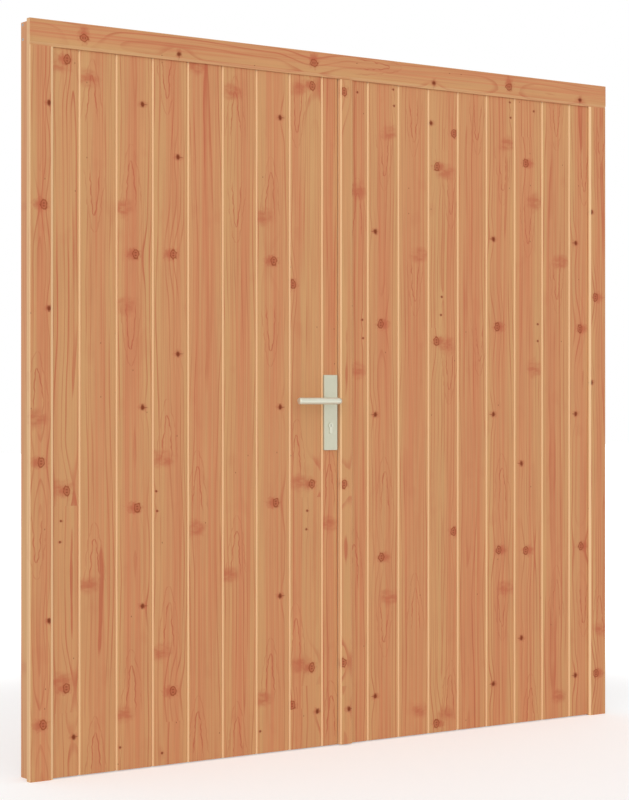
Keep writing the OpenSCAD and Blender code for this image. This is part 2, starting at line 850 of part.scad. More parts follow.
// Bolts that draw the two handle plates together
module handle_bolt_shapes(gap = 0) {
    for (z = plate_bolt_zs) translate([lever_x, 0, z]) {
        translate([0, -plate_face + plate_bolt_skin, 0]) along_y()
            cylinder(h = 2 * plate_face - plate_bolt_skin - plate_bolt_sink - plate_bolt_head_h / 2,
                     r = plate_bolt_r + gap, $fn = 32);
        translate([0, plate_face - plate_bolt_sink - plate_bolt_head_h, 0]) along_y()
            cylinder(h = plate_bolt_head_h + (gap > 0 ? plate_bolt_sink + cut : 0),
                     r = plate_bolt_head_r + gap, $fn = 32);
    }
}

module handle_bolts() {
    color(satin_metal) handle_bolt_shapes();
}

// Handle plate on the front of the leaf; the inner one is its mirror image across the leaf
module handle_plate() {
    difference() {
        rounded_plate(plate_w, plate_h, plate_t, plate_corner_r,
                      lever_x, -plate_face, (plate_z0 + plate_z1) / 2);
        translate([lever_x, -plate_face - cut, lever_z]) along_y()
            cylinder(h = neck_seat + cut, r = neck_r + running_gap, $fn = round_fn);
        translate([lever_x, -plate_face, lever_z]) along_y()
            cylinder(h = plate_t + cut, r = spindle_w * 0.75, $fn = round_fn);
        cylinder_shape(-plate_face - cut, -plate_y + cut, seat_gap);
    }
}

module outer_handle_plate() {
    color(satin_metal) difference() {
        handle_plate();
        handle_bolt_shapes(seat_gap);
    }
}

module inner_handle_plate() {
    color(satin_metal) difference() {
        mirror([0, 1, 0]) handle_plate();
        handle_bolt_shapes(seat_gap);
    }
}

// Open box behind the face plate, with slots for the bolts and holes for the follower and the cylinder
module lock_case() {
    color(steel) difference() {
        union() {
            box([case_x0, lock_y - case_t / 2, case_z0],
                [active_edge - forend_t, lock_y + case_t / 2, case_z1]);
            box([active_edge - forend_t, lock_y - forend_w / 2, forend_z - forend_h / 2],
                [active_edge, lock_y + forend_w / 2, forend_z + forend_h / 2]);
        }
        box([case_x0 + case_wall, lock_y - case_t / 2 + case_wall, case_z0 + case_wall],
            [active_edge - forend_t, lock_y + case_t / 2 - case_wall, case_z1 - case_wall]);
        translate([lever_x, lock_y - case_t, lever_z]) along_y()
            cylinder(h = 2 * case_t, r = follower_r + running_gap, $fn = round_fn);
        cylinder_shape(lock_y - case_t, lock_y + case_t, seat_gap);
        box([active_edge - forend_t - cut, lock_y - latch_t / 2 - slide_gap, latch_z0 - slide_gap],
            [active_edge + cut, lock_y + latch_t / 2 + slide_gap, latch_z0 + latch_h + slide_gap]);
        translate([0, lock_y, dead_bolt_z])
            box([active_edge - forend_t - cut, -dead_bolt_t / 2 - slide_gap, -dead_bolt_h / 2 - slide_gap],
                [active_edge + cut, dead_bolt_t / 2 + slide_gap, dead_bolt_h / 2 + slide_gap]);
        forend_screws(seat_gap);
        cylinder_screw(seat_gap);
        handle_bolt_shapes(seat_gap);
    }
}

// Cylinder body with the slot for the cam across its middle
module lock_cylinder() {
    color(brass) difference() {
        cylinder_shape(-cylinder_y, cylinder_y);
        translate([lever_x, -cylinder_y - cut, cylinder_z]) along_y()
            cylinder(h = 2 * cylinder_y + 2 * cut, r = plug_r + running_gap, $fn = round_fn);
        box([lever_x - cam_r, lock_y - cam_slot / 2, cylinder_z - cam_r - slide_gap],
            [lever_x + cam_r, lock_y + cam_slot / 2, cylinder_z + cam_r]);
        cylinder_screw(seat_gap);
    }
}

// Two plugs with their keyways, joined by the cam
module key_plug() {
    half = cam_slot / 2 - slide_gap;
    color(brass) difference() {
        union() {
            translate([lever_x, -cylinder_y, cylinder_z]) along_y()
                cylinder(h = 2 * cylinder_y, r = plug_r, $fn = round_fn);
            translate([lever_x, lock_y - half, cylinder_z]) along_y()
                cylinder(h = 2 * half, r = cylinder_r, $fn = round_fn);
            box([lever_x - cam_w / 2, lock_y - half, cylinder_z - cam_r],
                [lever_x + cam_w / 2, lock_y + half, cylinder_z]);
        }
        for (side = [-1, 1])
            translate([lever_x, side * cylinder_y, cylinder_z])
                box([-keyway_w / 2, -keyway_l, -plug_r + keyway_foot],
                    [keyway_w / 2, keyway_l, plug_r - keyway_top]);
    }
}

// Lever on the front of the leaf: neck, bend and bar; the inner one is its mirror image
module lever() {
    socket = spindle_w / 2 + seat_gap;
    neck_y = -bar_y + lever_bend_r;
    difference() {
        union() {
            translate([lever_x, neck_y, lever_z]) along_y()
                cylinder(h = neck_seat - slide_gap - plate_face - neck_y, r = neck_r, $fn = round_fn);
            translate([lever_x, neck_y, lever_z]) along_y()
                cylinder(h = neck_cone_h, r1 = lever_r, r2 = neck_r, $fn = round_fn);
            translate([lever_x - lever_bend_r, neck_y, lever_z]) rotate([0, 0, -90])
                rotate_extrude(angle = 90, $fn = round_fn)
                    translate([lever_bend_r, 0]) circle(r = lever_r, $fn = round_fn);
            translate([lever_x - lever_bend_r, -bar_y, lever_z]) rotate([0, -90, 0])
                cylinder(h = lever_l - lever_bend_r - lever_nose, r = lever_r, $fn = round_fn);
            translate([lever_x - lever_l + lever_nose, -bar_y, lever_z]) rotate([0, -90, 0])
                cylinder(h = lever_nose, r1 = lever_r, r2 = lever_r - lever_nose_taper, $fn = round_fn);
        }
        translate([lever_x, 0, lever_z]) box([-socket, neck_y, -socket], [socket, 0, socket]);
    }
}

module outer_lever() {
    color(satin_metal) lever();
}

module inner_lever() {
    color(satin_metal) mirror([0, 1, 0]) lever();
}

// Square spindle with the lock's follower and its finger
module spindle() {
    half = spindle_w / 2;
    reach = bar_y - lever_bend_r - slide_gap;
    finger_t = case_t / 2 - case_wall - slide_gap;
    color(dark_steel) translate([lever_x, 0, lever_z]) {
        box([-half, -reach, -half], [half, reach, half]);
        translate([0, lock_y - case_t / 2, 0]) along_y() cylinder(h = case_t, r = follower_r, $fn = round_fn);
        rotate([0, finger_start, 0]) {
            box([-finger_r / 2, lock_y - finger_t, 0], [finger_r / 2, lock_y + finger_t, finger_reach]);
            translate([0, lock_y - finger_t, finger_reach]) along_y()
                cylinder(h = 2 * finger_t, r = finger_r, $fn = 32);
        }
    }
}

// Latch bolt: bevelled nose, bar above the follower and the stub that its finger pushes
module latch_bolt() {
    y0 = lock_y - latch_t / 2;
    y1 = lock_y + latch_t / 2;
    nose_x = active_edge + latch_out;
    color(steel) {
        translate([0, 0, latch_z0]) linear_extrude(latch_h) polygon([
            [latch_stub_x - latch_stub_w, y0], [active_edge + latch_bevel_start, y0],
            [nose_x, y1 - latch_nose_flat], [nose_x, y1], [latch_stub_x - latch_stub_w, y1]
        ]);
        box([latch_stub_x - latch_stub_w, y0, latch_stub_z], [latch_stub_x, y1, latch_z0 + cut]);
    }
}

module dead_bolt() {
    color(steel)
        box([active_edge - dead_bolt_l, lock_y - dead_bolt_t / 2, dead_bolt_z - dead_bolt_h / 2],
            [active_edge, lock_y + dead_bolt_t / 2, dead_bolt_z + dead_bolt_h / 2]);
}

// Passive leaf

module passive_side() {
    mirror([1, 0, 0]) children();
}

module passive_board(k) {
    color(wood_front) difference() {
        passive_side() board(k, -passive_edge);
        if (k >= full_boards) strip_screws(seat_gap);
    }
}

module passive_hinge_stile() {
    color(wood_back) passive_side() hinge_stile(-passive_edge);
}

// Pockets behind the strike plate for the latch bolt and the dead bolt, with their openings in the plate
module strike_pockets(depth_latch, depth_dead, gap) {
    x0 = passive_edge - cut;
    box([x0, lock_y - latch_t / 2 - gap, latch_z0 - gap],
        [passive_edge + depth_latch, lock_y + latch_t / 2 + gap, latch_z0 + latch_h + gap]);
    box([x0, lock_y - dead_bolt_t / 2 - gap, dead_bolt_z - dead_bolt_h / 2 - gap],
        [passive_edge + depth_dead, lock_y + dead_bolt_t / 2 + gap, dead_bolt_z + dead_bolt_h / 2 + gap]);
}

module strike_screws(gap = 0) {
    for (side = [-1, 1])
        translate([passive_edge, lock_y, strike_z + side * (strike_h / 2 - strike_screw_edge)])
            rotate([0, -90, 0]) screw(edge_screw_l, gap);
}

module strike_outline(gap = 0, front = 0) {
    box([passive_edge - front, lock_y - strike_w / 2 - gap, strike_z - strike_h / 2 - gap],
        [passive_edge + forend_t + gap, lock_y + strike_w / 2 + gap, strike_z + strike_h / 2 + gap]);
}

module passive_meeting_stile() {
    color(wood_back) difference() {
        passive_side() meeting_stile(-passive_edge);
        strike_outline(seat_gap, cut);
        strike_pockets(latch_out + latch_pocket_spare, dead_bolt_throw + dead_pocket_spare, pocket_gap);
        strike_screws(seat_gap);
        strip_screws(seat_gap);
        slide_bolt_screws(seat_gap);
    }
}

module passive_top_rail() {
    color(wood_back) passive_side() rail(top_rail_z, -passive_edge);
}

module passive_middle_rail() {
    color(wood_back) passive_side() rail(middle_rail_z, -passive_edge);
}

module passive_bottom_rail() {
    color(wood_back) passive_side() rail(bottom_rail_z, -passive_edge);
}

module passive_braces() {
    color(wood_back) passive_side() braces(-passive_edge);
}

module passive_hinge_straps() {
    color(steel) passive_side() hinge_straps();
}

module passive_screws() {
    color(steel) {
        passive_side() {
            all_board_screws(-passive_edge);
            strap_screws();
        }
        strike_screws();
        strip_screws();
        slide_bolt_screws();
    }
}

// Screws from the back of the meeting stile into the strip
module strip_screws(gap = 0) {
    for (z = strip_screw_zs)
        back_screw(passive_edge + strip_w / 2, rail_y1, z, leaf_t + strip_screw_bite, gap);
}

// Strip on the front of the passive leaf beside the meeting gap
module meeting_strip() {
    x0 = passive_edge;
    x1 = passive_edge + strip_w;
    color(wood_front) difference() {
        translate([0, 0, floor_gap]) linear_extrude(strip_top - floor_gap) polygon([
            [x0, board_y0], [x0, strip_y0 + strip_bevel], [x0 + strip_bevel, strip_y0],
            [x1 - strip_bevel, strip_y0], [x1, strip_y0 + strip_bevel], [x1, board_y0]
        ]);
        strip_screws(seat_gap);
    }
}

module strike_plate() {
    color(steel) difference() {
        strike_outline();
        strike_pockets(forend_t + cut, forend_t + cut, slide_gap * 2);
        strike_screws(seat_gap);
    }
}

// Slide bolts, top one with end = 1 and bottom one with end = -1
function bolt_tip(end) = end > 0 ? rail_top - bolt_inset : floor_gap + bolt_inset;
function bolt_plate_z(end) = bolt_tip(end) - end * (bolt_plate_gap + bolt_plate_h / 2);
function guide_z(end, n) = bolt_plate_z(end) + n * (bolt_plate_h / 2 - guide_inset);

module slide_bolt_screws(gap = 0) {
    for (end = [-1, 1], i = [-1, 1], j = [-1, 1])
        back_screw(bolt_x + i * bolt_screw_x, rail_y1 + hinge_t, bolt_plate_z(end) + j * bolt_screw_z,
                   bolt_screw_l, gap);
}

module slide_bolt_guides() {
    color(steel) difference() {
        for (end = [-1, 1]) {
            rounded_plate(bolt_plate_w, bolt_plate_h, hinge_t, bolt_plate_r,
                          bolt_x, rail_y1, bolt_plate_z(end));
            for (n = [-1, 1]) translate([bolt_x, 0, guide_z(end, n)])
                box([-bolt_r - guide_side, rail_y1 + hinge_t - guide_root, -guide_h / 2],
                    [bolt_r + guide_side, bolt_y + bolt_r + guide_back, guide_h / 2]);
        }
        for (end = [-1, 1])
            translate([bolt_x, bolt_y, bolt_plate_z(end)])
                cylinder(h = bolt_plate_h, r = bolt_r + running_gap, center = true, $fn = round_fn);
        slide_bolt_screws(seat_gap);
    }
}

module slide_bolt(end) {
    tip = bolt_tip(end);
    low = end > 0 ? tip - bolt_l : tip;
    translate([bolt_x, bolt_y, low]) cylinder(h = bolt_l, r = bolt_r, $fn = round_fn);
    translate([bolt_x, bolt_y, bolt_plate_z(end) - end * bolt_travel / 2]) along_y()
        cylinder(h = bolt_r + bolt_knob_l, r = bolt_knob_r, $fn = 48);
}

module top_slide_bolt() {
    color(dark_steel) slide_bolt(1);
}

module bottom_slide_bolt() {
    color(dark_steel) slide_bolt(-1);
}

left_post();
right_post();
head_rail();
left_casing();
right_casing();
top_casing();
post_hinge_plates();
hinge_pins();
frame_screws();
head_keep();
active_board(0);  // active_board_1
active_board(1);  // active_board_2
active_board(2);  // active_board_3
active_board(3);  // active_board_4
active_board(4);  // active_board_5
active_board(5);  // active_board_6
active_board(6);  // active_board_7
active_board(7);  // active_board_8
active_board(8);  // active_board_9
active_hinge_stile();
active_meeting_stile();
active_top_rail();
active_middle_rail();
active_bottom_rail();
active_braces();
active_hinge_straps();
active_screws();
outer_handle_plate();
inner_handle_plate();
lock_case();
lock_cylinder();
handle_bolts();
passive_board(0);  // passive_board_1
passive_board(1);  // passive_board_2
passive_board(2);  // passive_board_3
passive_board(3);  // passive_board_4
passive_board(4);  // passive_board_5
passive_board(5);  // passive_board_6
passive_board(6);  // passive_board_7
passive_board(7);  // passive_board_8
passive_board(8);  // passive_board_9
passive_hinge_stile();
passive_meeting_stile();
passive_top_rail();
passive_middle_rail();
passive_bottom_rail();
passive_braces();
passive_hinge_straps();
passive_screws();
meeting_strip();
strike_plate();
slide_bolt_guides();
outer_lever();
inner_lever();
spindle();
latch_bolt();
dead_bolt();
key_plug();
top_slide_bolt();
bottom_slide_bolt();
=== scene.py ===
"""Double wooden gate: finishes, hardware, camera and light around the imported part."""

import logging
import math
from dataclasses import dataclass, replace
from enum import Enum

import bmesh
import bpy
from bpy.types import Material, Node, NodeSocket, NodeTree, Object
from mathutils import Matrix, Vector

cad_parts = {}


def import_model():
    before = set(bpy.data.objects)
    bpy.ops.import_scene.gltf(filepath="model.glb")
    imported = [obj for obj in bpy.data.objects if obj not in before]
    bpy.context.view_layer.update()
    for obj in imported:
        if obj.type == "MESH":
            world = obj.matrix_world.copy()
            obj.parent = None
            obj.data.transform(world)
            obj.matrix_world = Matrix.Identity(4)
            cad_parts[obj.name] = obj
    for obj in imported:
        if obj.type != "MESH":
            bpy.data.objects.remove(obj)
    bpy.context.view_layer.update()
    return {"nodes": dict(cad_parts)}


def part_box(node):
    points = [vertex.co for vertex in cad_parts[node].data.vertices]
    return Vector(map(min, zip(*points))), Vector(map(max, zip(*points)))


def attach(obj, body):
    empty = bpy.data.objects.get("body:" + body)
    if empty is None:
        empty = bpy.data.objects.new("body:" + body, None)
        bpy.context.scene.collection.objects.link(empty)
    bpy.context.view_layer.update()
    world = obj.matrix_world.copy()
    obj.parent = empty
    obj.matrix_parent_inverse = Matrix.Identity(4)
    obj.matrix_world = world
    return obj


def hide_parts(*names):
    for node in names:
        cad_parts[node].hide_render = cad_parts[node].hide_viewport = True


LOG = logging.getLogger("double_gate")
Colour = tuple[float, float, float, float]
Span = tuple[float, float, float, float]
"""Where a smooth step starts and ends, and its values there."""


def srgb(red: int, green: int, blue: int) -> Colour:
    """Turns a display colour into a linear one.

    Args:
        red: Red from 0 to 255.
        green: Green from 0 to 255.
        blue: Blue from 0 to 255.

    Returns:
        The linear colour with an alpha of one.
    """
    parts = [value / 255 for value in (red, green, blue)]
    linear = [p / 12.92 if p <= 0.04045 else ((p + 0.055) / 1.055) ** 2.4 for p in parts]
    return (linear[0], linear[1], linear[2], 1.0)


class Grain(Enum):
    """Direction that the grain of a timber runs in, as a turn about the Y axis in degrees."""

    UPRIGHT = 0.0
    LEVEL = 90.0
    LEANS_RIGHT = -41.0
    LEANS_LEFT = 41.0


class MarkKind(Enum):
    """Kinds of mark in the figure of a board, each with its usual size in metres."""

    RINGED_KNOT = 0.0112
    BLACK_KNOT = 0.0068
    PIN_KNOT = 0.003
    BLUSH = 0.016
    ARCH = 0.018
    DIP = 0.017


@dataclass(frozen=True)
class Mark:
    """A mark at a chosen place of a piece, across and along its grain from its middle."""

    kind: MarkKind
    across: float
    along: float

    def numbers(self) -> tuple[float, float, float]:
        """Returns its place and its size, with a minus except for a ringed knot and a dip."""
        turned = self.kind not in (MarkKind.RINGED_KNOT, MarkKind.DIP)
        return self.across, self.along, -self.kind.value if turned else self.kind.value

    def middle(self, reach: float) -> float:
        """Returns the place of its middle along the piece, where an arch reaches so far."""
        ways = {MarkKind.ARCH: -0.5, MarkKind.DIP: 0.5}
        return self.along + ways.get(self.kind, 0.0) * reach


@dataclass
class Graph:
    """Short calls for building one node tree."""

    tree: NodeTree

    def feed(self, socket: NodeSocket, value: object) -> None:
        """Links a socket to another, or sets its value.

        Args:
            socket: Input that is fed.
            value: Output to link it to, or a plain value.
        """
        if isinstance(value, NodeSocket):
            self.tree.links.new(value, socket)
        else:
            socket.default_value = value

    def wire(self, node: Node, values: dict[object, object]) -> None:
        """Feeds several inputs of a node, by name or place."""
        for key, value in values.items():
            self.feed(node.inputs[key], value)

    def add(self, kind: str, inputs: dict[object, object] | None = None, **settings: object) -> Node:
        """Adds a node.

        Args:
            kind: Type name of the node.
            inputs: Values or sockets for its inputs, by name or place.
            settings: Properties of the node itself.

        Returns:
            The new node.
        """
        node = self.tree.nodes.new(kind)
        for key, value in settings.items():
            setattr(node, key, value)
        self.wire(node, inputs or {})
        return node

    def group(self, tree: NodeTree, inputs: dict[object, object]) -> list[NodeSocket]:
        """Adds a shader node group and returns its outputs."""
        return list(self.add("ShaderNodeGroup", inputs, node_tree=tree).outputs)

    def math(self, operation: str, *values: object) -> NodeSocket:
        """Adds a Math node and returns its result."""
        return self.add("ShaderNodeMath", dict(enumerate(values)), operation=operation).outputs[0]

    def total(self, first: object, *rest: object) -> NodeSocket:
        """Adds several values up and returns the sum."""
        for value in rest:
            first = self.math("ADD", first, value)
        return first

    def times(self, first: object, *rest: object) -> NodeSocket:
        """Multiplies several values and returns the product."""
        for value in rest:
            first = self.math("MULTIPLY", first, value)
        return first

    def length(self, a: object, b: object) -> NodeSocket:
        """Returns the length of a flat vector with the sides a and b."""
        return self.math("SQRT", self.total(self.times(a, a), self.times(b, b)))

    def centred(self, value: object) -> NodeSocket:
        """Returns how far a value from 0 to 1 is from its middle."""
        return self.total(value, -0.5)

    def step(self, value: object, low: object, high: object, start: float = 0.0,
             end: float = 1.0) -> NodeSocket:
        """Maps a value smoothly from the span low to high onto the span start to end."""
        inputs = {"Value": value, "From Min": low, "From Max": high, "To Min": start, "To Max": end}
        return self.add("ShaderNodeMapRange", inputs, interpolation_type="SMOOTHSTEP").outputs[0]

    def combine(self, x: object, y: object, z: object) -> NodeSocket:
        """Makes a vector of three values."""
        return self.add("ShaderNodeCombineXYZ", {0: x, 1: y, 2: z}).outputs[0]

    def split(self, vector: object) -> list[NodeSocket]:
        """Returns the three parts of a vector."""
        return list(self.add("ShaderNodeSeparateXYZ", {0: vector}).outputs)

    def noise(self, vector: object, scale: float = 1.0, detail: float = 2.0) -> NodeSocket:
        """Returns a noise value from about 0 to 1."""
        return self.add("ShaderNodeTexNoise", {"Vector": vector, "Scale": scale, "Detail": detail}).outputs[0]

    def weave(self, place: tuple, scales: tuple, detail: float = 1.0) -> NodeSocket:
        """Returns a noise value at a place that is stretched by its own scale each way."""
        parts = [part if scale == 1 else self.times(part, scale) for part, scale in zip(place, scales)]
        return self.noise(self.combine(*parts), 1.0, detail)

    def mix(self, factor: object, a: object, b: object, blend: str = "MIX") -> NodeSocket:
        """Mixes two colours and returns the result."""
        node = self.add("ShaderNodeMix", {0: factor, 6: a, 7: b}, data_type="RGBA", blend_type=blend)
        return node.outputs[2]

    def mix_vector(self, factor: object, a: object, b: object) -> NodeSocket:
        """Mixes two vectors and returns the result."""
        return self.add("ShaderNodeMix", {0: factor, 4: a, 5: b}, data_type="VECTOR").outputs[1]


GroupParts = tuple[Graph, Node, Node]


def new_group(name: str, inputs: dict[str, str], outputs: dict[str, str],
              kind: str = "ShaderNodeTree") -> GroupParts:
    """Starts a node group.

    Args:
        name: Name of the group.
        inputs: Socket types of its inputs by name.
        outputs: Socket types of its outputs by name.
        kind: Type name of the node tree.

    Returns:
        The group's graph, its input node and its output node.
    """
    tree = bpy.data.node_groups.new(name, kind)
    for way, sockets in (("INPUT", inputs), ("OUTPUT", outputs)):
        for label, holds in sockets.items():
            tree.interface.new_socket(label, in_out=way, socket_type=f"NodeSocket{holds}")
    graph = Graph(tree)
    return graph, graph.add("NodeGroupInput"), graph.add("NodeGroupOutput")


def new_material(name: str) -> tuple[Material, Graph, Node]:
    """Starts a material.

    Args:
        name: Name of the material.

    Returns:
        The material, its graph and its surface shader.
    """
    material = bpy.data.materials.new(name)
    material.use_nodes = True
    return material, Graph(material.node_tree), material.node_tree.nodes["Principled BSDF"]


def put(name: str, data: bpy.types.ID) -> Object:
    """Puts an object into the scene.

    Args:
        name: Name of the object.
        data: Its mesh, camera or lamp.

    Returns:
        The object.
    """
    thing = bpy.data.objects.new(name, data)
    bpy.context.scene.collection.objects.link(thing)
    return thing


@dataclass(frozen=True)
class KnotMark:
    """Look of one knot, in shares of its size: a ringed heart, or a black one with a thin crack."""

    squash: float = 0.78
    even: float = 0.6
    uneven: float = 0.8
    core: Span = (0.82, 1.12, 0.24, 0.0)
    rim: float = 0.84
    rim_line: Span = (0.04, 0.22, 0.72, 0.0)
    eye_apart: float = 0.34
    eye_width: float = 0.6
    eye: Span = (0.06, 0.3, 0.62, 0.0)
    crack_shift: float = 0.6
    crack_width: float = 0.36
    crack_height: float = 3.0
    crack: Span = (0.3, 0.95, 0.6, 0.0)
    coal: Span = (0.4, 1.25, 1.0, 0.0)
    fan_shift: float = 0.75
    fan_width: float = 0.55
    fan_height: float = 0.8
    fan_even: float = 0.4
    fan: Span = (0.3, 1.5, 1.0, 0.0)
    black_halo: float = 0.75
    grain_reach: float = 4.6
    grain_stretch: float = 0.34
    grain_push: float = 1.55

    def build(self) -> NodeTree:
        """Builds the shader node group of the mark.

        Returns:
            The group.
        """
        g, source, sink = new_group(
            "knot_mark",
            {"Across": "Float", "Along": "Float", "Size": "Float", "Black": "Float", "Ragged": "Float"},
            {"Heart": "Float", "Dark": "Float", "Halo": "Float", "Bend": "Float"},
        )
        across, along, size, black, ragged = source.outputs[:5]
        red = g.math("SUBTRACT", 1.0, black)
        uneven = g.total(self.even, g.times(ragged, self.uneven))
        r = g.math("DIVIDE", g.times(g.length(across, g.times(along, self.squash)), uneven), size)
        rim = g.step(g.math("ABSOLUTE", g.total(r, -self.rim)), *self.rim_line)
        apart = g.total(g.math("ABSOLUTE", along), g.times(size, -self.eye_apart))
        eye = g.length(g.times(across, self.eye_width), apart)
        eye = g.step(g.math("DIVIDE", eye, size), *self.eye)
        tail = g.total(across, g.times(size, -self.crack_shift))
        crack = g.length(g.times(tail, self.crack_width), g.times(along, self.crack_height))
        crack = g.step(g.math("DIVIDE", crack, size), *self.crack)
        coal = g.math("MAXIMUM", g.step(r, *self.coal), crack)
        fan = g.times(g.total(across, g.times(size, red, self.fan_shift)), self.fan_width)
        fan = g.times(g.length(fan, g.times(along, self.fan_height)), g.total(self.fan_even, ragged))
        halo = g.step(g.math("DIVIDE", fan, size), *self.fan)
        swirl = g.math("DIVIDE", g.length(across, g.times(along, self.grain_stretch)), size)
        swirl = g.step(swirl, 0.0, self.grain_reach, 1.0, 0.0)
        g.wire(sink, {
            "Heart": g.times(g.total(g.step(r, *self.core), rim), red),
            "Dark": g.math("MAXIMUM", g.times(coal, black), g.times(eye, red)),
            "Halo": g.times(halo, g.total(self.black_halo, g.times(red, 1 - self.black_halo))),
            "Bend": g.times(swirl, size, self.grain_push),
        })
        return g.tree


@dataclass(frozen=True)
class GrainArch:
    """Look of a latewood line that closes in a narrow arch, with a fainter one outside it."""

    line: float = 0.0009
    soft: float = 0.0019
    outer_width: float = 1.8
    outer_start: float = 0.3
    outer_strength: float = 0.5
    tip: tuple[float, float] = (-0.01, 0.02)
    inside_tip: tuple[float, float] = (-0.05, 0.02)
    inside: Span = (-0.002, 0.006, 1.0, 0.0)
    foot: Span = (0.6, 1.0, 1.0, 0.0)

    def outside(self, g: Graph, across: object, t: object, width: object) -> NodeSocket:
        """Returns how far a place is outside the arch, negative where it is inside."""
        half = g.times(width, g.math("SQRT", g.math("MAXIMUM", t, 0.0)))
        return g.math("SUBTRACT", across, half)

    def stroke(self, g: Graph, away: object, t: object) -> NodeSocket:
        """Draws the line of an arch where the distance from it is nothing."""
        thick = g.step(g.math("ABSOLUTE", away), self.line, self.line + self.soft, 1.0, 0.0)
        return g.times(thick, g.step(t, *self.tip))

    def build(self) -> NodeTree:
        """Builds the shader node group of the arch.

        Returns:
            The group.
        """
        g, source, sink = new_group(
            "grain_arch", {"Across": "Float", "Along": "Float", "Reach": "Float", "Width": "Float"},
            {"Line": "Float", "Inside": "Float"},
        )
        across, along, reach, width = source.outputs[:4]
        across = g.math("ABSOLUTE", across)
        t = g.math("DIVIDE", along, reach)
        outer_t = g.total(t, self.outer_start)
        foot = g.step(t, *self.foot)
        inner = self.outside(g, across, t, width)
        outer = self.outside(g, across, outer_t, g.times(width, self.outer_width))
        faint = g.times(self.stroke(g, outer, outer_t), self.outer_strength)
        g.wire(sink, {
            "Line": g.times(g.math("MAXIMUM", self.stroke(g, inner, t), faint), foot),
            "Inside": g.times(g.step(inner, *self.inside), g.step(t, *self.inside_tip), foot),
        })
        return g.tree


